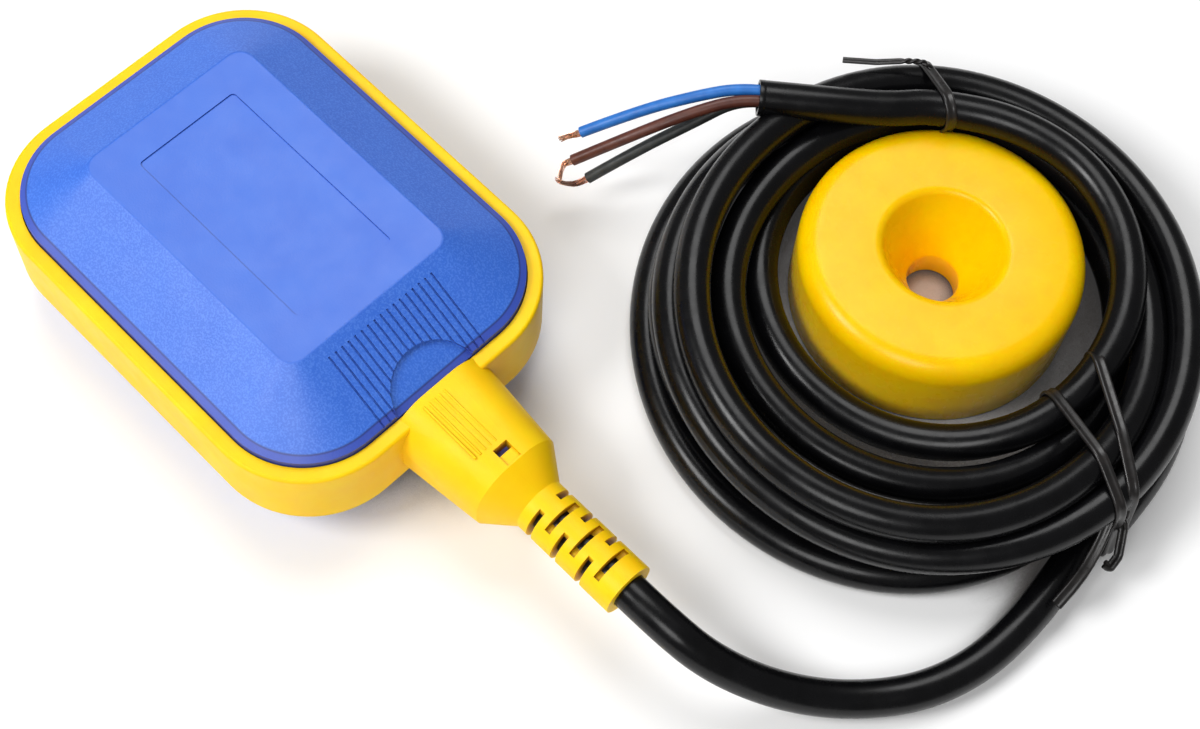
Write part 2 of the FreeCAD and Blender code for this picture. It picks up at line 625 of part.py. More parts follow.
def screw_places():
    return [(f"{along}post_spacing_x / 2", f"{across}post_spacing_y / 2")
            for along in ("", "-") for across in ("", "-")]


def make_screws():
    pieces = []
    for number, (x, y) in enumerate(screw_places()):
        shank = rod(f"shank_{number}", "screw_diameter", "carrier_thick + screw_reach", x, y,
                    "carrier_level - screw_reach")
        head = rod(f"head_{number}", "screw_head", "screw_diameter * 0.7", x, y, "carrier_level + carrier_thick")
        pieces += [shank, head]
    return [fuse("carrier_screws", *pieces)]


def make_tunnel_lid():
    return [box("tunnel_lid", "tunnel_length", "tunnel_bore + 2 * tunnel_wall", "lid_thick", "tunnel_root",
                "-tunnel_bore / 2 - tunnel_wall", "carrier_level + carrier_thick + tunnel_bore")]


def make_ball():
    ball = doc.addObject("Part::Sphere", "steel_ball")
    bind(ball, Radius="ball_diameter / 2", Placement__Base__x="ball_start", Placement__Base__z="ball_level")
    return [ball]


def make_lever():
    """Sheet lever curled round its pin, with the arm in the ball's way."""
    x = "switch_front - hinge_out"
    z = "ball_level - lever_width / 2"
    curl = rod("lever_curl", "pin_diameter + 2 * lever_thick + 2 * bore_clearance", "lever_width", x, "-hinge_side", z)
    arm = box("lever_arm", "lever_thick", "lever_length", "lever_width",
              f"{x} - lever_thick / 2", "-hinge_side", z)
    eye = rod("lever_eye", "pin_diameter + 2 * bore_clearance", "lever_width", x, "-hinge_side", z)
    lever = cut("switch_lever", fuse("lever_blank", curl, arm), eye)
    pin = rod("lever_pin", "pin_diameter", "case_height", x, "-hinge_side", "switch_floor")
    return [lever, pin]


def make_snap_switch():
    """Case with its ears, cover, plunger, snap blade and terminals."""
    floor = "switch_floor"
    block = box("case_block", "switch_depth", "switch_width", "case_height", "switch_front", "-switch_width / 2", floor)
    bay = box("case_bay", "switch_depth - 2 * switch_wall", "switch_bay", "case_height",
              "switch_front + switch_wall", "-switch_bay / 2", "switch_floor + switch_wall")
    ear_reach = "hinge_out + pin_diameter"
    ears = [box("ear_low", ear_reach, "2 * pin_diameter", "switch_height / 2 - lever_width / 2 - rest_gap",
                f"switch_front - {ear_reach}", "-hinge_side - pin_diameter", floor),
            box("ear_high", ear_reach, "2 * pin_diameter", "switch_height / 2 - lever_width / 2 - rest_gap - switch_cover",
                f"switch_front - {ear_reach}", "-hinge_side - pin_diameter",
                "ball_level + lever_width / 2 + rest_gap")]
    pin_hole = rod("pin_hole", "pin_diameter + 2 * bore_clearance", "switch_height", "switch_front - hinge_out", "-hinge_side", floor)
    peg_holes = [rod(f"peg_hole_{side}", "peg_diameter + 2 * bore_clearance", "switch_height",
                     "switch_front + peg_back", f"{sign}peg_spacing / 2", floor)
                 for side, sign in (("left", ""), ("right", "-"))]
    plunger_hole = rod("plunger_hole", "plunger_diameter + 2 * bore_clearance", "2 * switch_wall",
                       "switch_front - switch_wall / 2", "-plunger_side", "ball_level", axis="x")
    slots = [box(f"tab_slot_{number}", "2 * switch_wall", "tab_width", "tab_thick",
                 "bay_back - switch_wall / 2", f"{place} - tab_width / 2", "ball_level - tab_thick / 2")
             for number, place in enumerate(tab_places())]
    case = cut("microswitch_case", fuse("case_solid", block, *ears), bay, pin_hole, plunger_hole, *peg_holes, *slots)
    plate = box("cover_plate", "switch_depth", "switch_width", "switch_cover", "switch_front", "-switch_width / 2",
                "switch_floor + case_height")
    cover_holes = [rod(f"cover_hole_{side}", "peg_diameter + 2 * bore_clearance", "switch_height",
                       "switch_front + peg_back", f"{sign}peg_spacing / 2", floor)
                   for side, sign in (("left", ""), ("right", "-"))]
    cover = cut("microswitch_cover", plate, *cover_holes)
    return [case, cover] + make_plunger() + make_blade() + make_terminals()


def tab_places():
    return ["-tab_pitch", "0 * tab_pitch", "tab_pitch"]


def make_plunger():
    tip = "switch_front - hinge_out + lever_thick / 2 + rest_gap"
    stem = rod("plunger_stem", "plunger_diameter", f"lug_front + blade_thick - ({tip})", tip,
               "-plunger_side", "ball_level", axis="x")
    nose = rod("plunger_tip", "plunger_nose", "blade_front - rest_gap - lug_front", "lug_front",
               "-plunger_side", "ball_level", axis="x")
    collar = rod("plunger_ring", "plunger_collar", "2 * blade_thick", "lug_front",
                 "-plunger_side", "ball_level", axis="x")
    return [fuse("switch_plunger", stem, collar, nose)]


def make_blade():
    """Snap blade with the moving contact on both faces."""
    strip = box("blade_strip", "blade_thick", "blade_pivot + blade_reach + contact_diameter / 2", "blade_width",
                "blade_front", "-blade_pivot", "ball_level - blade_width / 2")
    button = rod("moving_contact", "contact_diameter", "3 * blade_thick", "blade_front - blade_thick",
                 "blade_reach", "ball_level", axis="x")
    return [fuse("contact_blade", strip, button)]


def tab(name, front, place):
    """A flat terminal tab from inside the case out of its back."""
    return box(name, f"case_back + tab_length - ({front})", "tab_width", "tab_thick", front,
               f"{place} - tab_width / 2", "ball_level - tab_thick / 2")


def lug(name, length, width, x, y):
    return box(name, length, width, "tab_thick", x, y, "ball_level - tab_thick / 2")


def make_terminals():
    """Three flat terminals: their tabs leave the case's back, their lugs face the blade and its contact."""
    side = "switch_bay / 2 - rest_gap"
    common = fuse("terminal_common", tab("common_tab", "common_front + 2 * tab_thick", "-tab_pitch"),
                  lug("common_lug", "2 * tab_thick", "tab_thick", "common_front", f"-({side})"))
    opened = fuse("terminal_open", tab("open_tab", "bay_back - 3 * tab_thick", "0 * tab_pitch"),
                  lug("open_arm", "tab_thick", "blade_reach + contact_diameter / 2", "bay_back - 3 * tab_thick",
                      "0 * tab_pitch"),
                  lug("open_lug", "bay_back - 2 * tab_thick - open_front", "contact_diameter", "open_front",
                      "blade_reach - contact_diameter / 2"))
    closed = fuse("terminal_closed", tab("closed_tab", "bay_back - tab_thick", "tab_pitch"),
                  lug("closed_side", "bay_back - lug_front", "tab_thick", "lug_front", f"{side} - tab_thick"),
                  lug("closed_lug", "tab_thick", f"{side} - blade_reach + contact_diameter / 2", "lug_front",
                      "blade_reach - contact_diameter / 2"))
    return [common, opened, closed]


def make_receptacles():
    """Three push-on receptacles on the tabs, each with a crimp barrel for its lead."""
    pieces = []
    for number, place in enumerate(tab_places()):
        shell = box(f"receptacle_shell_{number}", "receptacle_length", "tab_width + 2 * receptacle_wall",
                    "tab_thick + 2 * receptacle_wall", "receptacle_root",
                    f"{place} - tab_width / 2 - receptacle_wall", "ball_level - tab_thick / 2 - receptacle_wall")
        barrel = rod(f"crimp_barrel_{number}", "core_diameter + 2 * receptacle_wall", "receptacle_barrel",
                     "receptacle_root + receptacle_length", place, "ball_level", axis="x")
        slot = tab(f"receptacle_slot_{number}", "receptacle_root", place)
        pieces.append(cut(f"receptacle_{number}", fuse(f"receptacle_solid_{number}", shell, barrel), slot))
    return [fuse("push_on_receptacles", *pieces)]


# Cords: straight runs joined by tangent arcs, as large as the runs allow
def rounded_route(points):
    """A wire along the points, each corner an arc; also gives the smallest radius."""
    points = [Vector(*point) for point in points]
    edges, radii, here = [], [], points[0]
    for before, corner, after in zip(points, points[1:], points[2:]):
        incoming = (corner - before).normalize()
        outgoing = (after - corner).normalize()
        turn = incoming.getAngle(outgoing)
        shorter = min((corner - before).Length, (after - corner).Length)
        reach = 0.45 * shorter
        radii.append(reach / math.tan(turn / 2))
        start, end = corner - incoming * reach, corner + outgoing * reach
        inward = (outgoing - incoming).normalize()
        middle = corner + inward * (radii[-1] / math.cos(turn / 2) - radii[-1])
        edges.append(Part.LineSegment(here, start).toShape())
        edges.append(Part.Arc(start, middle, end).toShape())
        here = end
    edges.append(Part.LineSegment(here, points[-1]).toShape())
    return Part.Wire(edges), min(radii)


def tube(label, points, diameter):
    """A solid round tube along a rounded route, with its volume compared to section times length."""
    route, smallest = rounded_route(points)
    first = route.Edges[0]
    direction = first.tangentAt(first.FirstParameter)
    ring = Part.Wire([Part.Circle(Vector(*points[0]), direction, diameter / 2).toShape()])
    solid = route.makePipeShell([ring], True, False)
    expected = math.pi * diameter ** 2 / 4 * route.Length
    print(f"{label}: length {route.Length:.1f}, smallest radius {smallest:.1f}, "
          f"volume {solid.Volume / expected:.4f} of section times length")
    return shape_feature(label, solid)


def core_place(number, turn):
    """A core's place in the cable's section, as offsets across and up."""
    angle = math.radians(turn + 120 * number)
    return size("core_ring") * math.cos(angle), size("core_ring") * math.sin(angle)


def make_inner_leads():
    """The three cores inside the float, from the sheath's end to the crimp barrels."""
    start, end = size("clamp_root"), size("barrel_end")
    reach = start - end
    leads = []
    for number, (colour, side) in enumerate((("brown", 0), ("blue", 1), ("black", -1))):
        across, up = core_place(number, 90)
        across *= -1
        y_tab, z_tab = side * size("tab_pitch"), size("ball_level")
        sheath = Vector(start, across, size("mid_height") + up)
        barrel = Vector(end, y_tab, z_tab)
        points = [sheath, sheath - Vector(0.27 * reach, 0, 0), barrel + Vector(0.27 * reach, 0, 0), barrel]
        leads.append(tube(f"inner_lead_{colour}", points, size("core_diameter")))
    return leads


# The cable's route outside the float: points chosen by hand, in millimetres
LEAD_ROUTE = [
    (116.0, 0.0, 20.75), (126.4, 2.1, 16.6), (136.0, 7.7, 10.2), (145.3, 15.2, 5.6), (153.6, 23.9, 4.0),
    (160.3, 33.6, 4.0), (164.2, 45.6, 4.0), (164.6, 58.6, 4.0), (163.0, 71.4, 4.0), (160.8, 83.0, 4.0),
]
TAIL_ROUTE = [
    (74.5, 126.6, 25.4), (68.3, 120.7, 26.2), (61.6, 113.9, 27.0), (54.6, 107.4, 27.6), (47.1, 100.7, 28.0),
]
CORE_ROUTES = {
    "brown": [(38.6, 86.9, 25.0), (31.9, 75.2, 21.0), (24.2, 65.3, 14.5)],
    "blue": [(37.3, 91.3, 27.0), (29.1, 81.0, 23.0), (21.3, 70.6, 17.0)],
    "black": [(39.1, 90.2, 20.5), (32.9, 77.7, 16.0), (27.8, 66.7, 9.5)],
}


def make_cable():
    diameter = size("cable_diameter")
    entry = rod("cable_entry", "cable_diameter", "relief_end - clamp_root", "clamp_root", "0 * clamp_root",
                "mid_height", axis="x")
    exit_point = (size("relief_end"), 0.0, size("mid_height"))
    lead = tube("cable_lead", [exit_point] + LEAD_ROUTE, diameter)
    tail = tube("cable_tail", TAIL_ROUTE, diameter)
    return [entry, lead, tail] + make_cores()


def make_cores():
    """The three cores where they leave the sheath, each with its bare copper end."""
    end, before = Vector(*TAIL_ROUTE[-1]), Vector(*TAIL_ROUTE[-2])
    along = (end - before).normalize()
    left = Vector(0, 0, 1).cross(along).normalize()
    up = along.cross(left)
    pieces = []
    for number, (colour, route) in enumerate(CORE_ROUTES.items()):
        across, rise = core_place(number, 30)
        start = end + left * across + up * rise
        stub = start + along * 2 * size("core_diameter")
        pieces.append(tube(f"core_{colour}", [start, stub] + route, size("core_diameter")))
        tip, near = Vector(*route[-1]), Vector(*route[-2])
        copper = Part.makeCone(size("strand_diameter") / 2, size("strand_tip") / 2, size("strand_length"),
                               tip, tip - near)
        pieces.append(shape_feature(f"strands_{colour}", copper))
    return pieces


def make_coil():
    """The outer shape of the cable's coil, with the counterweight in its open middle."""
    foot, crown, height = size("coil_foot_radius"), size("coil_crown_radius"), size("coil_height")
    centre = Vector(size("coil_x"), size("coil_y"), 0)
    waist = size("cable_diameter")
    disc = Part.makeCylinder(foot, waist, centre)
    upper = Part.makeCone(foot, crown, height - waist, centre + Vector(0, 0, waist))
    solid = disc.fuse(upper).removeSplitter()
    middle = Vector(size("coil_hole_x"), size("coil_hole_y"), -1)
    solid = solid.cut(Part.makeCylinder(size("coil_hole_radius"), height + 2, middle))
    rims = [edge for edge in solid.Edges if edge.BoundBox.ZMin > height - 0.01 or edge.BoundBox.ZMax < 0.01]
    solid = solid.makeFillet(size("coil_edge"), [edge for edge in rims if edge.Closed])
    return shape_feature("cable_coil", solid)


# Each tie: its knot, the outside and the foot of each loop, and its tail
TIES = {
    "tie_top": ((64.5, 137.7, 20.0), [((64.5, 137.7), (79.8, 130.6))],
                [(58.0, 133.4, 21.4), (49.8, 126.1, 20.0)]),
    "tie_side": ((162.6, 88.2, 18.6), [((162.0, 86.2), (135.7, 96.7)), ((163.0, 90.2), (136.3, 109.4))],
                 [(166.4, 82.6, 14.0), (168.4, 74.6, 11.0), (168.0, 64.8, 10.4)]),
}


def crossing(point, direction, centre, radius):
    """How far along a line it first meets a circle."""
    offset = point - centre
    along = offset.dot(direction)
    return -along - math.sqrt(along ** 2 - offset.dot(offset) + radius ** 2)


def tie_loop(outside_point, foot):
    """A ribbon round the coil's section, in the upright plane through its outside and its foot."""
    start = Vector(outside_point[0], outside_point[1], 0)
    inward = (Vector(foot[0], foot[1], 0) - start).normalize()
    centre = Vector(size("coil_x"), size("coil_y"), 0)
    middle = Vector(size("coil_hole_x"), size("coil_hole_y"), 0)
    edge, clearance, thick = size("coil_edge"), size("tie_clearance"), size("tie_thick")
    outside = crossing(start, inward, centre, size("coil_foot_radius")) + edge
    crown = crossing(start, inward, centre, size("coil_crown_radius")) + edge
    inside = crossing(start, inward, middle, size("coil_hole_radius")) - size("tie_sink") - edge
    low, high = clearance + thick + edge, size("coil_height") - edge
    corners = [(inside, low), (inside, high), (crown, high), (outside, size("cable_diameter")), (outside, low)]
    wire = Part.makePolygon([Vector(u, 0, z) for u, z in corners + corners[:1]])
    outer = Part.Face(wire.makeOffset2D(edge + clearance + thick))
    inner = Part.Face(wire.makeOffset2D(edge + clearance))
    ribbon = outer.cut(inner).extrude(Vector(0, size("tie_width"), 0))
    ribbon.translate(Vector(0, -size("tie_width") / 2, 0))
    ribbon.rotate(Vector(), Vector(0, 0, 1), math.degrees(math.atan2(inward.y, inward.x)))
    ribbon.translate(start)
    return ribbon


def make_ties():
    """Two ribbons that grip the coil, each with a twisted knot and a thinner tail that leaves it."""
    ties = []
    for label, (knot, loops, tail) in TIES.items():
        centre = Vector(*knot)
        along = (Vector(*tail[0]) - centre).normalize()
        reach = size("tie_knot")
        lump = Part.makeCylinder(reach / 2, reach, centre - along * (reach / 2), along)
        grip = lump.fuse([tie_loop(*loop) for loop in loops])
        root = centre + along * (reach / 2)
        route, _ = rounded_route([tuple(root)] + tail)
        ring = Part.Circle(root, along, size("tie_twist") / 2)
        twist = route.makePipeShell([Part.Wire([ring.toShape()])], True, False)
        ties.append(shape_feature(label, Part.Compound([max(grip.Solids, key=lambda piece: piece.Volume), twist])))
    return ties


# The counterweight
def make_weight():
    centre = {"x": "weight_x", "y": "weight_y"}
    outside = rod("weight_blank", "weight_diameter", "weight_height", centre["x"], centre["y"], "0 * weight_x")
    doc.recompute()
    rounded = doc.addObject("Part::Fillet", "weight_rounded")
    rounded.Base = outside
    top = edges_at_height(outside.Shape, size("weight_height"))
    rounded.Edges = [(int(name[4:]), size("weight_edge"), size("weight_edge")) for name in top]
    funnel = cone("weight_funnel", "throat_diameter / 2", "funnel_diameter / 2", "funnel_depth",
                  "weight_height - funnel_depth")
    throat = rod("weight_throat", "throat_diameter", "weight_height", centre["x"], centre["y"], "0 * weight_x")
    shell_room = make_core("room")
    shell = cut("weight_shell", rounded, funnel, throat, shell_room, base_cap("cap_room", "weight_diameter / 2 - weight_wall"))
    core = make_core("weight_core")
    core.Label = "weight_core"
    cap_blank = base_cap("cap_blank", "weight_diameter / 2 - weight_wall")
    cap = cap_blank
    cap.Label = "weight_cap"
    return [shell, core, cap]


def cone(name, low_radius, high_radius, height, z):
    item = doc.addObject("Part::Cone", name)
    bind(item, Radius1=low_radius, Radius2=high_radius, Height=height)
    bind(item, Placement__Base__x="weight_x", Placement__Base__y="weight_y", Placement__Base__z=z)
    return item


def base_cap(name, radius):
    disc = rod(name + "_disc", f"2 * ({radius})", "weight_cap", "weight_x", "weight_y", "0 * weight_x")
    hole = rod(name + "_hole", "throat_diameter + 2 * weight_wall", "weight_cap", "weight_x", "weight_y", "0 * weight_x")
    return cut(name, disc, hole)


def make_core(name):
    """The iron ring that fills the counterweight between its wall, its funnel and its base."""
    height = "weight_height - weight_wall - weight_cap"
    disc = rod(name + "_disc", "weight_diameter - 2 * weight_wall", height, "weight_x", "weight_y", "weight_cap")
    funnel = cone(name + "_funnel", "throat_diameter / 2 + weight_wall", "funnel_diameter / 2 + weight_wall",
                  "funnel_depth", "weight_height - funnel_depth")
    throat = rod(name + "_throat", "throat_diameter + 2 * weight_wall", "weight_height", "weight_x", "weight_y",
                 "0 * weight_x")
    doc.recompute()
    rounded = doc.addObject("Part::Fillet", name + "_rounded")
    rounded.Base = disc
    top = edges_at_height(disc.Shape, size("weight_height") - size("weight_wall"))
    radius = size("weight_edge") - size("weight_wall")
    rounded.Edges = [(int(edge[4:]), radius, radius) for edge in top]
    return cut(name, rounded, funnel, throat)


def build():
    nodes = make_shells() + make_band() + make_clamp()
    nodes += make_carrier() + make_tunnel_lid() + make_screws() + make_ball() + make_lever()
    nodes += make_snap_switch() + make_receptacles() + make_inner_leads()
    nodes += make_cable()
    nodes += [make_coil()] + make_ties()
    nodes += make_weight()
    doc.recompute()
    return nodes


def check_and_write(nodes):
    """Refuse failed objects and empty or broken shapes, then write one STEP file a node."""
    for item in doc.Objects:
        if {"Invalid", "Error"} & set(item.State):
            raise RuntimeError(f"{item.Label} failed: {item.State}")
    for node in nodes:
        if node.Shape.isNull() or not node.Shape.isValid() or not node.Shape.Solids:
            raise RuntimeError(f"{node.Label} has no valid solid")
    os.makedirs("parts", exist_ok=True)
    for node in nodes:
        node.Shape.exportStep(f"parts/{node.Label}.step")
        bounds = node.Shape.BoundBox
        print(f"{node.Label}: {len(node.Shape.Solids)} solid(s), {node.Shape.Volume / 1000:.2f} cm3, "
              f"{bounds.XLength:.1f} x {bounds.YLength:.1f} x {bounds.ZLength:.1f}")


check_and_write(build())
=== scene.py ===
# %% [markdown]
# # A cable float switch
# A tank pump is switched by a hollow float on a cable. The float lies here with its cable in a coil, and the
# counterweight rests in the coil's middle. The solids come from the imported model. This lesson gives them
# their finishes, lays the soft cable over them and models the fine pieces that follow the cable.

# %% Load the solid model
import json
import math
import bpy
from mathutils import Matrix, Vector


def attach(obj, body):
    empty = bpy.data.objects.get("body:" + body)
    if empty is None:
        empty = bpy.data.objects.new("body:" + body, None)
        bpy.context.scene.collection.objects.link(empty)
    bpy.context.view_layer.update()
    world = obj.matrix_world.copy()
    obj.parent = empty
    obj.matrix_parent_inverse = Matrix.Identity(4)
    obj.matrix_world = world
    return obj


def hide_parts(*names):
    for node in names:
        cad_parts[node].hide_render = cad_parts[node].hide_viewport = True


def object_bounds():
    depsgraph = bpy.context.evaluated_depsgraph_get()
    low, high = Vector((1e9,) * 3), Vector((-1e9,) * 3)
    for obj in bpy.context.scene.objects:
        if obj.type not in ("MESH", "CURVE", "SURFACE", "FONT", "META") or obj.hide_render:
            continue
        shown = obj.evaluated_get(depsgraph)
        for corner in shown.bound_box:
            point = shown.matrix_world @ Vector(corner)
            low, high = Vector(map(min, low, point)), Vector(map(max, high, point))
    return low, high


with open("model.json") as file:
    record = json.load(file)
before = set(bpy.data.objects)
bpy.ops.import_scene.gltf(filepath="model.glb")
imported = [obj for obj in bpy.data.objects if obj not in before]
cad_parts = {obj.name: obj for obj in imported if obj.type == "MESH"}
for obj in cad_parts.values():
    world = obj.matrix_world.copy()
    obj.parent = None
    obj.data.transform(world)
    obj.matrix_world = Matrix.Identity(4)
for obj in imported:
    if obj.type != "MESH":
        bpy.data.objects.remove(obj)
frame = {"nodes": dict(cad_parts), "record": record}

solid_box = [list(corner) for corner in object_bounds()]
nodes = frame["nodes"]
solid_sides = [round((high - low) * 1000, 1) for low, high in zip(*solid_box)]
print(len(nodes), "solids in a box of", solid_sides, "mm")

# %% [markdown]
# Plans of small products are in millimetres and Blender counts in metres. One short function turns a point,
# so every place below can be read as on the plan. Two more find a direction on a circle and pick one piece,
# because Blender's tools work on what is picked, and loading leaves things picked.

# %% Small tools
def mm(x, y, z):
    return Vector((x, y, z)) / 1000


def round_about(degrees, first, second):
    """The direction at an angle, from first at 0 degrees to second at 90."""
    return math.cos(math.radians(degrees)) * first + math.sin(math.radians(degrees)) * second


def clear_choice():
    bpy.ops.object.select_all(action="DESELECT")


def use(piece):
    clear_choice()
    piece.select_set(True)
    bpy.context.view_layer.objects.active = piece


def soften(piece, width, steps, smooth_below, **fields):
    """Rounds a piece's edges and shades it smooth where faces meet at less than an angle."""
    use(piece)
    bevel = piece.modifiers.new("soft edge", "BEVEL")
    bevel.width, bevel.segments = width, steps
    for name, value in fields.items():
        setattr(bevel, name, value)
    bpy.ops.object.modifier_apply(modifier=bevel.name)
    bpy.ops.object.shade_smooth_by_angle(angle=math.radians(smooth_below))


print("one metre mark:", tuple(mm(1000, 0, 0)))

# %% [markdown]
# ## The camera
# A product shot is taken with a fairly long lens, so that the near side isn't blown up. The camera's
# place and its right, up and back directions were found by lining up the float's and the weight's edges,
# and they go straight into the camera's matrix. That keeps the slight roll of the shot.

# %% Camera
right = Vector((0.7049432, 0.7080792, 0.0409743))
up = Vector((-0.6482265, 0.6197561, 0.4423853))
back = Vector((0.2878497, -0.3384171, 0.8958886))
lens = bpy.data.cameras.new("product_lens")
lens.sensor_fit, lens.sensor_width, lens.lens = "HORIZONTAL", 36, 65.415
camera = bpy.data.objects.new("product_camera", lens)
bpy.context.scene.collection.objects.link(camera)
place = Matrix.Translation((0.1983577, -0.1236249, 0.4311235))
camera.matrix_world = place @ Matrix((right, up, back)).transposed().to_4x4()
bpy.context.scene.camera = camera
print("the camera looks along", [round(-value, 3) for value in back])

# %% [markdown]
# ## The cable
# The cable is one length of rubber-sheathed flex: it leaves the strain relief, lies down on the floor, goes
# round and round in the coil, and its end lies on top. A smooth NURBS curve of order three bends as such a
# flex does. Its first points are the lead, straight out of the strain relief at first.

# %% Lead
CABLE_THICK = 0.008
EXIT = mm(106.1, 0, 20.75)
lead_route = [EXIT] + [mm(*point) for point in (
    (116.0, 0.0, 20.75), (126.4, 2.1, 16.6), (136.0, 7.7, 10.2), (145.3, 15.2, 5.6), (153.6, 23.9, 4.0),
    (160.3, 33.6, 4.0), (164.2, 45.6, 4.0), (164.8, 58.6, 4.0), (163.6, 71.4, 4.0), (161.9, 82.5, 4.0))]
print("lead of", len(lead_route), "points")

# %% [markdown]
# The coil was wound by hand, so no two turns are alike. Each turn is two rows of four stations, one every 45
# degrees round the coil's middle. A station is a pair: how far out the cable's centre lies, and how high.
# The turns start on the floor, climb over each other and end on top. The lower ones can't be seen, so they
# are partly a guess. A point is added halfway between two stations, on the smooth line through them, because
# a coil needs sixteen points a turn to look round.

# %% Coil
COIL_CENTRE = (104.0, 93.0)
FIRST_ANGLE, STATION_ANGLE = -4.6, 45
stations = [
    (58.5, 4.1), (58.7, 4.0), (60.6, 4.0), (61.8, 4.0),
    (60.6, 4.0), (58.9, 4.0), (58.6, 4.0), (57.1, 4.0),
    (51.3, 4.0), (50.6, 4.0), (52.7, 4.1), (53.8, 4.5),
    (54.5, 9.0), (55.6, 11.2), (52.3, 9.4), (50.9, 10.0),
    (52.5, 12.1), (56.3, 11.9), (57.4, 11.2), (56.8, 11.9),
    (53.9, 17.0), (54.9, 19.0), (55.6, 17.0), (56.7, 15.5),
    (57.3, 18.5), (56.2, 20.4), (56.9, 19.2), (56.4, 20.0),
    (51.0, 24.4), (50.6, 25.6), (52.6, 24.6), (53.0, 22.7),
    (49.9, 21.3), (48.5, 18.2), (49.0, 18.0), (48.8, 18.3),
    (44.3, 18.5), (42.5, 16.9), (40.1, 14.7), (39.6, 12.7),
    (41.3, 11.1), (44.4, 10.2), (48.2, 10.3), (49.1, 10.5),
    (42.7, 10.5), (33.6, 9.8), (27.3, 8.4), (27.7, 9.3),
    (34.5, 15.3), (42.3, 23.2), (47.5, 25.8), (45.6, 25.6)]


def halfway(before, near, far, after):
    """The smooth line's middle between two neighbouring stations."""
    return tuple((9 * (b + c) - a - d) / 16 for a, b, c, d in zip(before, near, far, after))


def coil_points():
    """Sixteen points a turn.

    A NURBS line runs a little inside its points, so they stand that much further out."""
    last = len(stations) - 1
    rings = []
    for number, station in enumerate(stations):
        rings.append((number, station))
        if number < last:
            around = [stations[min(max(number + step, 0), last)] for step in (-1, 0, 1, 2)]
            rings.append((number + 0.5, halfway(*around)))
    points = []
    for number, (radius, height) in rings:
        angle = math.radians(FIRST_ANGLE + STATION_ANGLE * number)
        reach = radius / math.cos(math.pi / 16)
        ahead, aside = reach * math.cos(angle), reach * math.sin(angle)
        points.append(mm(COIL_CENTRE[0] + ahead, COIL_CENTRE[1] + aside, height))
    return points


tail_route = [mm(*point) for point in (
    (68.3, 120.7, 26.2), (61.6, 113.9, 27.0), (54.6, 107.4, 27.6), (47.1, 100.7, 28.0))]
cable_route = lead_route + coil_points() + tail_route
print("cable of", len(cable_route), "points")

# %% [markdown]
# A cord is drawn with its thickness as the curve's round bevel. Where other pieces have to follow it, its own
# line is read from a copy with no thickness, because the line cuts a little inside its points.

# %% Curves for cords
def nurbs_line(name, points, closed=False):
    """A curve object of one smooth spline through its control points' hull."""
    curve = bpy.data.curves.new(name, "CURVE")
    curve.dimensions = "3D"
    curve.use_fill_caps = True
    spline = curve.splines.new("NURBS")
    spline.points.add(len(points) - 1)
    for point, spot in zip(spline.points, points):
        point.co = (*spot, 1)
    spline.order_u = 3
    spline.use_cyclic_u = closed
    spline.use_endpoint_u = not closed
    piece = bpy.data.objects.new(name, curve)
    bpy.context.scene.collection.objects.link(piece)
    return piece


def cord_curve(name, points, thick, smooth=8, round_steps=8):
    piece = nurbs_line(name, points)
    piece.data.resolution_u, piece.data.bevel_resolution = smooth, round_steps
    piece.data.bevel_depth = thick / 2
    return piece


def as_mesh(piece):
    use(piece)
    bpy.ops.object.convert(target="MESH")
    return bpy.context.object


def centre_line(piece):
    """The points of a curve's own line, read from a thin copy that is thrown away."""
    thin = bpy.data.objects.new("thin_line", piece.data.copy())
    thin.data.bevel_depth = 0
    bpy.context.scene.collection.objects.link(thin)
    bpy.context.view_layer.update()
    line = bpy.data.meshes.new_from_object(thin.evaluated_get(bpy.context.evaluated_depsgraph_get()))
    points = [vertex.co.copy() for vertex in line.vertices]
    bpy.data.meshes.remove(line)
    bpy.data.objects.remove(thin)
    return points


def length_of(points):
    return sum((b - a).length for a, b in zip(points, points[1:]))


cable = cord_curve("cable", cable_route, CABLE_THICK)
cable_line = centre_line(cable)
print("cable length", round(length_of(cable_line), 3), "m")

# %% [markdown]
# ## The three cores
# The sheath ends and the three insulated cores come out of it: brown, blue and black. They start on a small
# ring inside the sheath and part a little as they droop.

# %% Cores
CORE_THICK, CORE_RING = 0.0026, 0.00162
sheath_end = cable_line[-1]
along = (cable_line[-1] - cable_line[-2]).normalized()
left = Vector((0, 0, 1)).cross(along).normalized()
above = along.cross(left)
core_points = {
    "brown": (30, [(38.6, 86.9, 27.2), (31.9, 75.2, 22.6), (24.2, 65.3, 14.5)]),
    "blue": (150, [(37.3, 91.3, 28.2), (29.1, 81.0, 23.8), (21.3, 70.6, 17.0)]),
    "black": (270, [(39.1, 88.2, 22.6), (33.6, 76.7, 17.6), (27.8, 66.7, 9.5)])}
cores = {}
for colour, (turn, spots) in core_points.items():
    start = sheath_end + CORE_RING * round_about(turn, left, above)
    route = [start, start + along * CORE_THICK * 2] + [mm(*spot) for spot in spots]
    cores[colour] = cord_curve("core_" + colour + "_insulation", route, CORE_THICK, round_steps=6)
    print(colour, "core", round(length_of(centre_line(cores[colour])) * 1000, 1), "mm")

# %% [markdown]
# ## Finishes
# A finish is a small graph of nodes. One function adds a node, sets its fields and fills its sockets. Another
# turns a paint chart's colour to Blender's values, and a third gives a soft cloud of grey at a size in
# millimetres, which drives colour, gloss and bumps.

# %% Nodes
def srgb(code):
    """A colour as written on a paint chart, turned to the linear values that Blender mixes."""
    parts = [int(code[i:i + 2], 16) / 255 for i in (1, 3, 5)]
    linear = [part / 12.92 if part <= 0.04045 else ((part + 0.055) / 1.055) ** 2.4 for part in parts]
    return (*linear, 1)


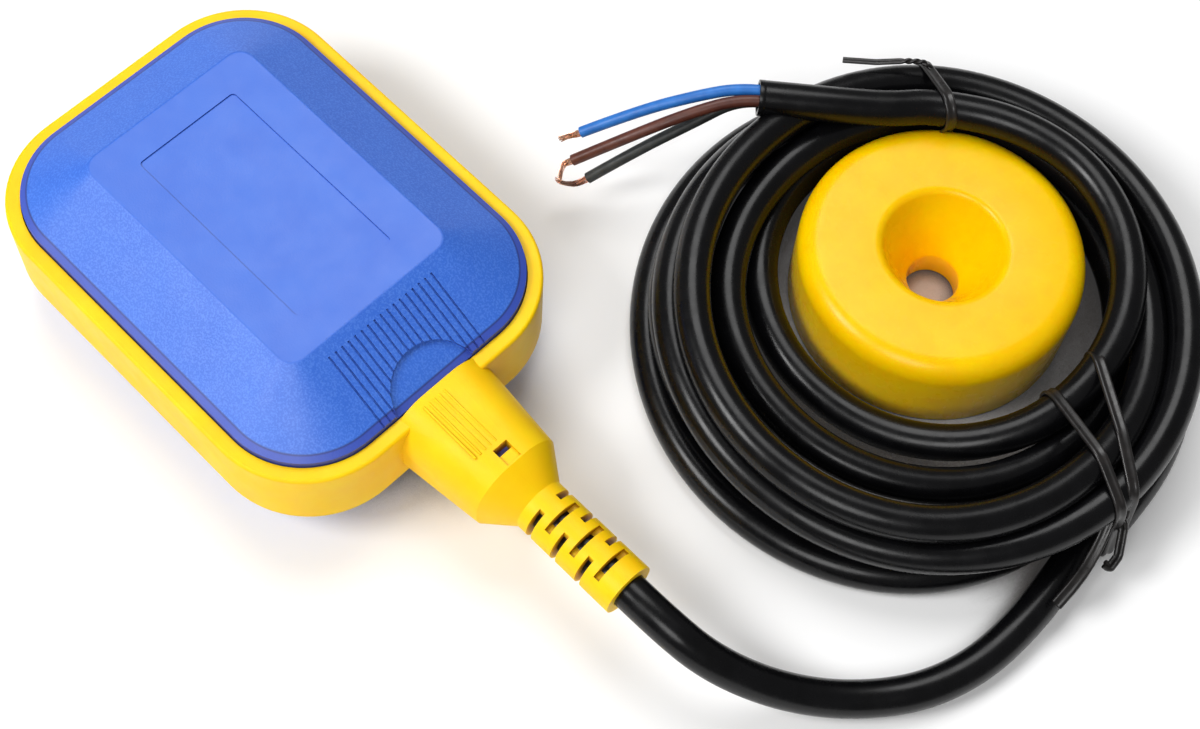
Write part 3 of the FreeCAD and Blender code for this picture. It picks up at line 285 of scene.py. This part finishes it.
def add_node(tree, kind, *values, **named):
    """Adds a node. Values fill its sockets in order, and named ones are its fields or sockets.

    Where a value is another node, that node's first output is linked."""
    node = tree.nodes.new(kind)
    fields = [name for name in named if hasattr(node, name)]
    for name in fields:
        setattr(node, name, named[name])
    filled = list(zip([socket for socket in node.inputs if socket.enabled], values))
    filled += [(node.inputs[name.replace("_", " ")], named[name]) for name in named if name not in fields]
    for socket, value in filled:
        if isinstance(value, bpy.types.Node):
            value = next(output for output in value.outputs if output.enabled)
        if isinstance(value, bpy.types.NodeSocket):
            tree.links.new(value, socket)
        else:
            socket.default_value = value
    return node


def cloud(tree, size_mm, detail=2.0, stretch=(1, 1, 1)):
    """Soft grey puffs, each about size_mm across."""
    spot = add_node(tree, "ShaderNodeTexCoord").outputs["Object"]
    per_metre = [1000 / size_mm * part for part in stretch]
    scaled = add_node(tree, "ShaderNodeMapping", Vector=spot, Scale=per_metre)
    return add_node(tree, "ShaderNodeTexNoise", Vector=scaled, Scale=1.0, Detail=detail, Roughness=0.5)


def new_finish(name, dark, light, gloss, shade_cloud, gloss_cloud):
    """A finish whose shade and gloss each drift with a cloud.

    A cloud is given as its size in mm, its detail and, where it isn't even, its stretch."""
    finish = bpy.data.materials.new(name)
    finish.use_nodes = True
    tree = finish.node_tree
    tree.nodes.clear()
    drift = add_node(tree, "ShaderNodeMapRange", cloud(tree, *shade_cloud), 0.3, 0.7, 0.0, 1.0)
    colour = add_node(tree, "ShaderNodeMix", drift, srgb(dark), srgb(light), data_type="RGBA")
    rough = add_node(tree, "ShaderNodeMapRange", cloud(tree, *gloss_cloud), 0.3, 0.7, *gloss)
    shader = add_node(tree, "ShaderNodeBsdfPrincipled", Base_Color=colour, Roughness=rough)
    add_node(tree, "ShaderNodeOutputMaterial", Surface=shader)
    return finish, tree, shader, colour


print("half grey is", [round(part, 3) for part in srgb("#808080")])

# %% [markdown]
# The shells, the band, the weight and the cable are moulded or extruded plastic and rubber. Such a surface
# drifts a little in shade and gloss, has a fine grain, and sinks in slight waves. Light enters the yellow
# plastic a few millimetres. Four marks of light and shade are painted into the colour, where neither shape
# nor lamp makes them: a painted shade in the band's narrow gaps, and on the shells a painted shade on the
# upright walls, painted glints on the slopes, and a painted shadow strip along the rim, where the real shells
# have a step.

# %% Moulded plastic
SHELL_LENGTH, SHELL_WIDTH, SHELL_CORNER = 99.7, 73.9, 19.15
LIGHT_DEPTH, GAP_SHADE_REACH = 0.005, 0.003
# A dark blue painted shadow line at the shells' rim, and the size of the painted glints on their slopes.
RIM_SHADOW_LINE, GLINT_SPECK_MM = "#16246A", 0.42


def rim_inset(tree):
    """How far inside a shell's rounded outline a point lies, in mm, near that outline."""
    spot = add_node(tree, "ShaderNodeSeparateXYZ", add_node(tree, "ShaderNodeTexCoord").outputs["Object"])
    squares = []
    for axis, half in (("X", SHELL_LENGTH / 2), ("Y", SHELL_WIDTH / 2)):
        out = add_node(tree, "ShaderNodeMath", spot.outputs[axis], operation="ABSOLUTE")
        past = add_node(tree, "ShaderNodeMath", out, (half - SHELL_CORNER) / 1000, operation="SUBTRACT")
        beyond = add_node(tree, "ShaderNodeMath", past, 0.0, operation="MAXIMUM")
        squares.append(add_node(tree, "ShaderNodeMath", beyond, 2.0, operation="POWER"))
    reach = add_node(tree, "ShaderNodeMath", add_node(tree, "ShaderNodeMath", *squares, operation="ADD"),
                     operation="SQRT")
    inset = add_node(tree, "ShaderNodeMath", SHELL_CORNER / 1000, reach, operation="SUBTRACT")
    return add_node(tree, "ShaderNodeMath", inset, 1000.0, operation="MULTIPLY")


def shell_painted_light(tree, colour, upright, slope_glints, strip):
    """Painted on the shell: shade on upright walls, glints on slopes, a shadow strip and line at the rim."""
    normal = add_node(tree, "ShaderNodeNewGeometry").outputs["True Normal"]
    lie = add_node(tree, "ShaderNodeMath", add_node(tree, "ShaderNodeSeparateXYZ", normal).outputs["Z"],
                   operation="ABSOLUTE")
    inset = rim_inset(tree)
    # Painted glints: fine specks of a lighter blue, on sloped faces only.
    sloped = add_node(tree, "ShaderNodeMapRange", lie, 0.9, 0.96, 0.3, 0.0)
    glint_specks = add_node(tree, "ShaderNodeMapRange", cloud(tree, GLINT_SPECK_MM, 1), 0.46, 0.62, 0.0, 1.0)
    # A painted shadow strip along the rim and a darker painted shadow line at its inner edge, where the step
    # is.
    line_in = add_node(tree, "ShaderNodeMapRange", inset, 1.15, 1.4, 0.0, 0.8)
    line_out = add_node(tree, "ShaderNodeMapRange", inset, 1.5, 1.75, 1.0, 0.0)
    # Painted shade: the colour darkens where a face stands upright, as on the walls at the rim.
    for share, code in (
            (add_node(tree, "ShaderNodeMapRange", lie, 0.15, 0.45, 1.0, 0.0), upright),
            (add_node(tree, "ShaderNodeMath", sloped, glint_specks, operation="MULTIPLY"), slope_glints),
            (add_node(tree, "ShaderNodeMapRange", inset, 1.4, 1.5, 0.9, 0.0), strip),
            (add_node(tree, "ShaderNodeMath", line_in, line_out, operation="MULTIPLY"), RIM_SHADOW_LINE)):
        colour = add_node(tree, "ShaderNodeMix", share, colour, srgb(code), data_type="RGBA")
    return colour


def moulded(name, dark, light, gloss, grain_mm, grain_deep_mm, spots_mm=9, wave_deep_mm=0.02, shine=0.5,
            glow=0.0, gaps="", shell=()):
    """glow is the share of light let in, gaps a painted shade in narrow gaps, shell the shell's painted
    light.
    """
    finish, tree, shader, colour = new_finish(name, dark, light, gloss, (spots_mm, 3), (spots_mm * 0.6, 4))
    if shell:
        colour = shell_painted_light(tree, colour, *shell)
    # A painted shade: the colour darkens where little open air is around it, in narrow gaps.
    if gaps:
        open_air = add_node(tree, "ShaderNodeAmbientOcclusion", samples=8, Distance=GAP_SHADE_REACH).outputs["AO"]
        share = add_node(tree, "ShaderNodeMapRange", open_air, 0.1, 0.55, 1.0, 0.0)
        colour = add_node(tree, "ShaderNodeMix", share, colour, srgb(gaps), data_type="RGBA")
    tree.links.new(next(output for output in colour.outputs if output.enabled), shader.inputs["Base Color"])
    if glow:
        shader.inputs["Subsurface Weight"].default_value = glow
        shader.inputs["Subsurface Radius"].default_value = (1.0, 0.45, 0.06)
        shader.inputs["Subsurface Scale"].default_value = LIGHT_DEPTH
    sinks = cloud(tree, spots_mm * 2.2, 1)
    waves = add_node(tree, "ShaderNodeBump", Height=sinks, Distance=wave_deep_mm / 1000)
    grain = add_node(tree, "ShaderNodeBump", Height=cloud(tree, grain_mm), Distance=grain_deep_mm / 1000,
                     Normal=waves)
    tree.links.new(grain.outputs["Normal"], shader.inputs["Normal"])
    shader.inputs["Specular IOR Level"].default_value = shine
    return finish


# The shell's three extra colours are painted shade on upright walls, painted glints and a painted rim shadow.
shell_plastic = moulded(
    "blue polypropylene", "#2561CC", "#2966D0", (0.46, 0.52), 0.45, 0.03, wave_deep_mm=0.006, shine=0.8,
    shell=("#1F3796", "#5F92EE", "#2B45AC"))
# The band's dark orange-brown is a painted shade in its narrow gaps and slots.
band_plastic = moulded(
    "yellow overmoulded rubber", "#FFC600", "#FFD000", (0.42, 0.55), 0.4, 0.006, shine=0.25, glow=0.2,
    gaps="#8A5200")
weight_plastic = moulded(
    "glossy yellow plastic", "#FFC000", "#FFCA00", (0.24, 0.3), 0.6, 0.004, wave_deep_mm=0.008, shine=0.2,
    glow=0.4)
sheath_rubber = moulded(
    "black sheath rubber", "#060607", "#0A0A0C", (0.22, 0.31), 0.8, 0.004, spots_mm=6, shine=0.28)
tie_plastic = moulded("black tie plastic", "#121111", "#221F1E", (0.25, 0.4), 0.5, 0.01, spots_mm=3)
print(len(bpy.data.materials), "materials so far")

# %% [markdown]
# The metals are pressed, drawn or cast, and a metal's look is its gloss: the ball is polished, the cast iron
# is dull, and the lever's strip has rolling lines, so its clouds are squeezed along Z.

# %% Metals
def metal(name, dark, light, gloss, grain_mm, grain_deep_mm, stretch=(1, 1, 1)):
    finish, tree, shader, colour = new_finish(name, dark, light, gloss, (3, 4, stretch), (1.5, 3, stretch))
    grain = add_node(tree, "ShaderNodeBump", Height=cloud(tree, grain_mm, stretch=stretch),
                     Distance=grain_deep_mm / 1000)
    tree.links.new(grain.outputs["Normal"], shader.inputs["Normal"])
    shader.inputs["Metallic"].default_value = 1.0
    return finish


copper = metal("bare copper", "#F2B495", "#FFD6C0", (0.22, 0.34), 0.2, 0.002)
finishes = {
    "shell": shell_plastic, "band": band_plastic, "sheath": sheath_rubber, "weight": weight_plastic,
    "tie": tie_plastic, "copper": copper,
    "clamp": moulded("violet nylon", "#5A5FB8", "#6A70C8", (0.4, 0.5), 0.4, 0.006),
    "carrier": moulded("natural nylon", "#D8D6C4", "#E4E2D2", (0.4, 0.55), 0.4, 0.006),
    "switch_body": moulded("black phenolic", "#1C1C1C", "#262626", (0.35, 0.5), 0.3, 0.006),
    "plunger": moulded("red acetal", "#B0201C", "#C42A24", (0.3, 0.4), 0.3, 0.004),
    "core_blue": moulded("blue core plastic", "#1C66B8", "#2A78CC", (0.38, 0.5), 0.4, 0.004, spots_mm=3),
    "core_brown": moulded("brown core plastic", "#4A2218", "#5E3022", (0.38, 0.5), 0.4, 0.004, spots_mm=3),
    "core_black": moulded(
        "chalky black core plastic", "#1E2020", "#363A39", (0.45, 0.6), 0.4, 0.004, spots_mm=3),
    "steel": metal("zinc plated steel", "#B8BABE", "#CFD1D4", (0.22, 0.38), 0.3, 0.003),
    "ball": metal("polished ball steel", "#CDCED0", "#E0E1E3", (0.04, 0.1), 0.4, 0.001),
    "spring_steel": metal("spring steel strip", "#A9AAAC", "#C4C5C7", (0.2, 0.32), 0.2, 0.002, (1, 1, 6)),
    "brass": metal("stamped brass", "#C8A250", "#DDBB6A", (0.2, 0.34), 0.2, 0.002),
    "tinned_brass": metal("tinned brass", "#B9B8B2", "#D2D1CB", (0.24, 0.36), 0.2, 0.002),
    "iron": metal("cast iron", "#3A3B3D", "#57585A", (0.5, 0.7), 0.8, 0.05)}
print(sorted(finishes))

# %% [markdown]
# Each solid names the slot of its finish, so all of them are dressed in one loop. The cords and the pieces
# made below get their finish and the body that they move with from one short function.

# %% Finish every solid
slots = {part["node"]: part["material_slot"] for part in frame["record"]["subparts"]}
for name, solid in nodes.items():
    solid.data.materials.clear()
    solid.data.materials.append(finishes[slots[name]])
print("solids with a finish:", len(nodes))


# %% Give the cords their finish and their place
def dress(piece, finish, body="float"):
    piece.data.materials.clear()
    piece.data.materials.append(finish)
    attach(piece, body)


dress(cable, sheath_rubber)
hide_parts("cable_lead", "cable_coil", "cable_tail")
for colour, core in cores.items():
    dress(core, finishes["core_" + colour])
    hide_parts("core_" + colour)
print("cords dressed:", 1 + len(cores))

# %% [markdown]
# ## Lines on the neck
# Five fine raised lines run along the top of the neck. One is modelled as a bevelled bar that follows the
# neck's fall, and the others are copies of it, 1.4 mm apart.

# %% Neck lines
NECK_START, NECK_TOP, NECK_FALL = 53.4, 32.25, 0.9 / 20.1
LINE_SUNK = 0.2
LINE_SIDES = (-5.4, -4.0, -2.6, -1.2, 0.2)
clear_choice()
bpy.ops.mesh.primitive_cube_add(size=1, location=mm(60.0, 0, 0), scale=mm(15.4, 0.55, 0.6))
neck_line = bpy.context.object
neck_line.name = "neck_line"
bpy.ops.object.transform_apply(location=True, rotation=True, scale=True)
for vertex in neck_line.data.vertices:
    vertex.co.z += (NECK_TOP - LINE_SUNK - (vertex.co.x * 1000 - NECK_START) * NECK_FALL) / 1000
soften(neck_line, 0.00022, 3, smooth_below=40)
neck_lines = [neck_line]
for side in LINE_SIDES[1:]:
    copy = neck_line.copy()
    copy.data = neck_line.data.copy()
    bpy.context.scene.collection.objects.link(copy)
    neck_lines.append(copy)
for bar, side in zip(neck_lines, LINE_SIDES):
    for vertex in bar.data.vertices:
        vertex.co.y += side / 1000
    dress(bar, band_plastic)
print("neck lines:", len(neck_lines))

# %% [markdown]
# ## The counterweight's outside
# The weight is a plastic skin round an iron ring. Its funnel has a soft, rounded mouth, like a bell, and its
# skin is a solid of revolution, so half its section is drawn once and spun round its axis. The section goes
# from the outer foot over the top, down the funnel and the bore, and back up inside the wall.

# %% Weight
WEIGHT = (98.2, 105.4)


def arc(middle_r, middle_z, radius, first, last, steps):
    turns = [math.radians(first + (last - first) * step / steps) for step in range(steps + 1)]
    return [(middle_r + radius * math.cos(turn), middle_z + radius * math.sin(turn)) for turn in turns]


outer_wall = ([(29.3, 0.0)] + arc(31.1, 0.6, 0.6, -90, 0, 4) + arc(26.7, 17.0, 5.0, 0, 90, 14)
              + [(21.0, 22.0)])
funnel = arc(15.2, 19.8, 2.2, 90, 152, 8) + [(11.6, 17.6), (9.7, 14.0), (8.0, 10.6), (6.6, 8.0)]
bore = arc(7.3, 6.3, 1.5, 150, 180, 3) + [(5.8, 3.0), (5.8, 0.4), (6.2, 0.0), (8.2, 0.0)]
inner_wall = [(8.2, 6.4), (14.3, 19.2), (26.7, 19.6)] + arc(26.7, 17.0, 2.6, 90, 0, 5)[1:]
section = outer_wall + funnel + bore + inner_wall
clear_choice()
bpy.ops.mesh.primitive_circle_add(
    vertices=len(section), radius=0.01, fill_type="NOTHING", location=(0, 0, 0))
skin = bpy.context.object
skin.name = "weight_skin"
for vertex, (reach, height) in zip(skin.data.vertices, section):
    vertex.co = mm(WEIGHT[0] + reach, WEIGHT[1], height)
bpy.ops.object.mode_set(mode="EDIT")
bpy.ops.mesh.select_all(action="SELECT")
bpy.ops.mesh.spin(steps=96, angle=2 * math.pi, center=mm(*WEIGHT, 0), axis=(0, 0, 1))
bpy.ops.mesh.select_all(action="SELECT")
bpy.ops.mesh.remove_doubles(threshold=0.00001)
bpy.ops.mesh.normals_make_consistent(inside=False)
bpy.ops.object.mode_set(mode="OBJECT")
bpy.ops.object.shade_smooth_by_angle(angle=math.radians(40))
dress(skin, weight_plastic)
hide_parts("weight_shell")
print("weight skin", len(skin.data.polygons), "faces")

# %% [markdown]
# ## The twist ties
# Each tie is a flat black ribbon with a wire along each edge. It is pulled tight round the turns, so its path
# is the tightest line round them: the cable is cut by the tie's upright plane, each cut is a disc, and the
# path is the hull of the discs. The ribbon's own section is then drawn along that path.

# %% Paths of the ties
TIE_THICK, PATH_STEP, FLOOR_GAP = 0.9, 1.5, 0.5
TIE_REACH = CABLE_THICK * 500 + TIE_THICK / 2 + 0.05
PLANE_BEFORE, PLANE_AFTER = 12, 4


def disc_places(start, foot, lowest):
    """Where the cable's line meets the upright plane through two points, as (along, height) in mm."""
    inward = (Vector(foot) - Vector(start)).normalized()
    across = Vector((-inward.y, inward.x))
    far = (Vector(foot) - Vector(start)).length + PLANE_AFTER
    discs = []
    for a, b in zip(cable_line, cable_line[1:]):
        before, after = ((point.xy * 1000 - Vector(start)).dot(across) for point in (a, b))
        if before * after <= 0 and before != after:
            point = a.lerp(b, before / (before - after)) * 1000
            reach = (point.xy - Vector(start)).dot(inward)
            if -PLANE_BEFORE < reach < far and point.z > lowest:
                discs.append((reach, point.z))
    return discs, inward


def left_turn(a, b, c):
    """Above nought where the way from a over b to c bends to the left."""
    return (b[0] - a[0]) * (c[1] - a[1]) - (b[1] - a[1]) * (c[0] - a[0])


def hull_half(dots):
    chain = []
    for dot in dots:
        while len(chain) > 1 and left_turn(chain[-2], chain[-1], dot) <= 0:
            chain.pop()
        chain.append(dot)
    return chain[:-1]


def tight_line(discs):
    """The hull of the discs, as a closed row of points that stays off the floor."""
    turns = [math.radians(degrees) for degrees in range(0, 360, 15)]
    edge = [(TIE_REACH * math.cos(turn), TIE_REACH * math.sin(turn)) for turn in turns]
    dots = sorted({(u + x, max(v + y, FLOOR_GAP)) for u, v in discs for x, y in edge})
    return hull_half(dots) + hull_half(dots[::-1])


def even(points, step):
    """The closed row again, with points at even distances."""
    loop = [Vector(point) for point in points + points[:1]]
    marks, walked = [loop[0]], 0.0
    for a, b in zip(loop, loop[1:]):
        gap = (b - a).length
        mark = step - walked
        while mark < gap:
            marks.append(a.lerp(b, mark / gap))
            mark += step
        walked = gap - (mark - step)
    return marks


print("a tie's middle runs", round(TIE_REACH, 2), "mm from the cable's")

# %% [markdown]
# The ribbon's section has a bulge over each wire and a thin web between them. The tie's two ends are wound
# round each other and then lie side by side, so they are two thin cords on one route.

# %% Ribbons and twisted ends
half_section = [(-1.3, 0.0), (-1.18, 0.3), (-0.85, 0.45), (-0.45, 0.3), (0.0, 0.2), (0.45, 0.3), (0.85, 0.45),
                (1.18, 0.3), (1.3, 0.0)]
ring = half_section + [(x, -y) for x, y in half_section[-2:0:-1]]
section_line = bpy.data.curves.new("ribbon_section", "CURVE")
outline = section_line.splines.new("POLY")
outline.points.add(len(ring) - 1)
for point, (x, y) in zip(outline.points, ring):
    point.co = (x / 1000, y / 1000, 0, 1)
outline.use_cyclic_u = True
ribbon_section = bpy.data.objects.new("ribbon_section", section_line)
bpy.context.scene.collection.objects.link(ribbon_section)

WOUND_SHARE, TWIST_STEPS = 0.35, 30


def ribbon(name, points, closed):
    piece = nurbs_line(name, points, closed)
    piece.data.resolution_u = 2
    piece.data.bevel_mode, piece.data.bevel_object = "OBJECT", ribbon_section
    return as_mesh(piece)


def tie_loop(name, start, foot, lowest=0.0):
    discs, inward = disc_places(start, foot, lowest)
    path = even(tight_line(discs), PATH_STEP)
    points = [mm(start[0] + inward.x * u, start[1] + inward.y * u, v) for u, v in path]
    print(name, "goes round", len(discs), "turns of cable")
    return ribbon(name, points, True)


def twisted(name, route, turns, gap, thick=0.0011):
    """Two ends of a tie, wound round each other at first and then side by side."""
    route = [Vector(point) for point in route]
    runs = [(b - a).length for a, b in zip(route, route[1:])]
    pieces = []
    for side in (0, 180):
        points = []
        for step in range(TWIST_STEPS + 1):
            way, run = sum(runs) * step / TWIST_STEPS, 0
            while run < len(runs) - 1 and way > runs[run]:
                way -= runs[run]
                run += 1
            middle = route[run].lerp(route[run + 1], min(way / runs[run], 1.0))
            forward = (route[run + 1] - route[run]).normalized()
            beside = forward.cross(Vector((0, 0, 1))).normalized()
            wound = min(step / TWIST_STEPS / WOUND_SHARE, 1.0)
            aside = round_about(side + turns * 360 * wound, beside, beside.cross(forward))
            points.append((middle + gap * aside) / 1000)
        pieces.append(as_mesh(cord_curve(name, points, thick, smooth=3, round_steps=3)))
    return pieces


def join(name, pieces):
    use(pieces[0])
    for piece in pieces:
        piece.select_set(True)
    bpy.ops.object.join()
    whole = bpy.context.object
    whole.name = name
    bpy.ops.object.shade_smooth_by_angle(angle=math.radians(50))
    return whole


print("ribbon section of", len(ring), "points")

# %% [markdown]
# The top tie holds the upper turns, so its loop leaves out those below 12 mm, and its end sticks out to the
# left. The side tie goes round the turns twice. One of its ends lies on the lead, and the other curls up
# beside it.

# %% Ties
TOP_TIE_LOWEST = 12.0
top_end = ((67.4, 134.6, 27.2), (65.6, 133.6, 28.6), (62.4, 131.6, 27.6), (57.4, 127.4, 26.0),
           (51.4, 123.3, 24.6))
lead_end = [mm(*point) for point in (
    (160.4, 91.4, 19.4), (161.6, 88.4, 18.9), (164.4, 82.4, 14.8), (166.2, 77.0, 11.6), (167.2, 71.0, 9.6),
    (167.3, 65.0, 9.0))]
knot = ((158.8, 92.6, 19.2), (160.6, 89.6, 20.4), (163.0, 88.4, 18.8), (163.6, 90.4, 16.6))
curled_end = ((163.4, 89.8, 17.0), (166.8, 85.6, 14.0), (169.6, 81.8, 10.8), (169.9, 79.0, 9.6),
              (168.6, 78.6, 10.4))
top_tie = join("tie_top_ribbon", [tie_loop("top_loop", (64.9, 136.4), (78.8, 128.0), TOP_TIE_LOWEST)]
               + twisted("top_tail", top_end, 2.0, 0.36, 0.0008))
side_loops = [tie_loop("side_loop", (162.0, 86.2), (135.7, 96.7)),
              tie_loop("side_loop_two", (163.0, 90.2), (136.3, 109.4))]
side_tie = join("tie_side_ribbon", side_loops + [ribbon("side_tail", lead_end, False)]
                + twisted("side_knot", knot, 1.5, 0.7) + twisted("side_end", curled_end, 1.0, 0.5))
for piece, name in ((top_tie, "tie_top"), (side_tie, "tie_side")):
    dress(piece, tie_plastic)
    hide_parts(name)
bpy.data.objects.remove(ribbon_section)
print("ties:", top_tie.name, side_tie.name)

# %% [markdown]
# ## Bare copper ends
# The insulation is stripped and the fine copper wires spread a little, each with its own bend. One wire is a
# thin curve, and sixteen of them leave a core's end. The wires of the brown and the black core touch. The
# wires stand at the golden angle, 2.4 radians, which fills a round bundle evenly, and sines vary their bends.

# %% Copper
WIRES, WIRE_THICK, BUNDLE_REACH, GOLDEN_ANGLE = 16, 0.0003, 0.00085, 2.4
copper_ways = {
    "brown": [(22.9, 63.5, 13.4), (24.6, 60.8, 12.4)],
    "blue": [(19.9, 68.6, 16.2), (18.5, 66.9, 15.2)],
    "black": [(26.6, 62.6, 9.4), (24.4, 60.5, 11.2)]}
for colour, core in cores.items():
    line = centre_line(core)
    tip, forward = line[-1], (line[-1] - line[-4]).normalized()
    beside = forward.cross(Vector((0, 0, 1))).normalized()
    over = beside.cross(forward)
    bend, end = (mm(*spot) for spot in copper_ways[colour])
    wires = []
    for number in range(WIRES):
        reach = BUNDLE_REACH * math.sqrt((number + 0.5) / WIRES)
        turned = [math.degrees(GOLDEN_ANGLE * number + turn) for turn in (0, 1.0, 1.9)]
        offsets = [reach * round_about(degrees, beside, over) for degrees in turned]
        length = 1.0 + 0.16 * math.sin(number * 2.9)
        points = [tip - forward * 0.001 + offsets[0], tip + forward * 0.0012 + offsets[0],
                  bend + offsets[1] * (0.9 + 0.3 * math.sin(number * 1.7)),
                  bend.lerp(end, length) + offsets[2] * (0.8 + 0.5 * math.sin(number * 1.1))]
        wires.append(as_mesh(cord_curve("wire", points, WIRE_THICK, smooth=5, round_steps=1)))
    bundle = join("copper_" + colour, wires)
    dress(bundle, copper)
    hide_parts("strands_" + colour)
print("copper wires:", len(cores) * WIRES)

# %% [markdown]
# ## The sheath's cut end
# The sheath was cut square, and its thick wall stands a little past the filling round the cores. A short
# cylinder is set on the cable's end, and its outer face is inset and pushed back to leave that wall.

# %% Cut end
SHEATH_WALL, WALL_STEP = 0.0008, 0.0008
clear_choice()
bpy.ops.mesh.primitive_cylinder_add(
    vertices=48, radius=CABLE_THICK / 2 + 0.00001, depth=0.0014, location=sheath_end + along * 0.0002,
    rotation=along.to_track_quat("Z", "Y").to_euler())
cut_end = bpy.context.object
cut_end.name = "sheath_cut_end"
bpy.ops.object.transform_apply(location=True, rotation=True, scale=True)
bpy.ops.object.mode_set(mode="EDIT")
bpy.ops.mesh.select_all(action="DESELECT")
bpy.ops.object.mode_set(mode="OBJECT")
for face in cut_end.data.polygons:
    face.select = face.normal.dot(along) > 0.9
bpy.ops.object.mode_set(mode="EDIT")
bpy.ops.mesh.inset(thickness=SHEATH_WALL, depth=0)
bpy.ops.mesh.inset(thickness=0.0001, depth=-WALL_STEP)
bpy.ops.object.mode_set(mode="OBJECT")
soften(cut_end, 0.00012, 2, smooth_below=40, limit_method="ANGLE")
dress(cut_end, sheath_rubber)
print("cut end", len(cut_end.data.polygons), "faces")

# %% Cords
for colour, core in cores.items():
    points = centre_line(core)
print("cords declared:", 1 + len(cores))

# %% [markdown]
# ## Floor and light
# The product lies on a white sweep, and the floor keeps the object's shadow. The floor isn't plain: its
# material is painted dark brown in narrow gaps, inside the coil and under the weight's bore, to look as dark
# there as the photo does. Neither light nor shape does that. On plain white paper those gaps are mid-grey.

# %% Floor
PAINTED_REACH, WHITE_SHARE = 0.03, 0.03
clear_choice()
bpy.ops.mesh.primitive_plane_add(size=6, location=(0.06, 0.05, -0.00002))
floor = bpy.context.object
floor.name = "white_floor"
bpy.ops.object.transform_apply(location=True, rotation=True, scale=True)
paper = bpy.data.materials.new("white paper sweep")
paper.use_nodes = True
tree = paper.node_tree
tree.nodes.clear()
# Painted shade: the floor's white turns dark brown where little open air is around it, in narrow gaps.
open_air = add_node(tree, "ShaderNodeAmbientOcclusion", samples=16, Distance=PAINTED_REACH).outputs["AO"]
deep = add_node(tree, "ShaderNodeMapRange", open_air, 0.16, 0.4, 1.0, 0.0)
shade = add_node(tree, "ShaderNodeMix", deep, srgb("#FCFCFC"), srgb("#2A1C10"), data_type="RGBA")
matt = add_node(tree, "ShaderNodeBsdfDiffuse", Color=shade)
rays = add_node(tree, "ShaderNodeLightPath")
watched = add_node(tree, "ShaderNodeMath", rays.outputs["Is Camera Ray"], rays.outputs["Is Glossy Ray"],
                   operation="MAXIMUM")
share = add_node(tree, "ShaderNodeMath", watched, WHITE_SHARE, operation="MULTIPLY")
white = add_node(tree, "ShaderNodeEmission", Color=(1, 1, 1, 1), Strength=1.0)
add_node(tree, "ShaderNodeOutputMaterial", Surface=add_node(tree, "ShaderNodeMixShader", share, matt, white))
floor.data.materials.append(paper)
print("floor", floor.name)

# %% [markdown]
# A large soft lamp stands high behind the product. A second one at the left gives the left slope its sheen,
# and a third at the front lights the band's and the weight's near sides. The sky is dim, and white only
# where the camera looks at it.

# %% Lamps and sky
def lamp(name, spot, size, power):
    light = bpy.data.lights.new(name, "AREA")
    light.shape, light.size, light.energy = "DISK", size, power
    holder = bpy.data.objects.new(name, light)
    bpy.context.scene.collection.objects.link(holder)
    holder.location = spot
    holder.rotation_euler = (Vector((0.06, 0.06, 0.02)) - Vector(spot)).to_track_quat("-Z", "Y").to_euler()


lamp("big_soft_lamp", (-0.35, 0.4, 1.1), 0.8, 7.6)
lamp("left_soft_lamp", (-0.3, -0.62, 0.8), 0.42, 6.4)
lamp("front_soft_lamp", (0.42, -0.6, 0.9), 0.5, 4.4)
world = bpy.data.worlds.new("pale studio")
bpy.context.scene.world = world
world.use_nodes = True
tree = world.node_tree
tree.nodes.clear()
rays = add_node(tree, "ShaderNodeLightPath")
studio = add_node(tree, "ShaderNodeBackground", Color=(1, 1, 1, 1), Strength=0.18)
bright = add_node(tree, "ShaderNodeBackground", Color=(1, 1, 1, 1), Strength=1.0)
sky = add_node(tree, "ShaderNodeMixShader", rays.outputs["Is Camera Ray"], studio, bright)
add_node(tree, "ShaderNodeOutputWorld", Surface=sky)
bpy.context.scene.view_settings.view_transform = "Standard"
print("lamps:", len(bpy.data.lights))
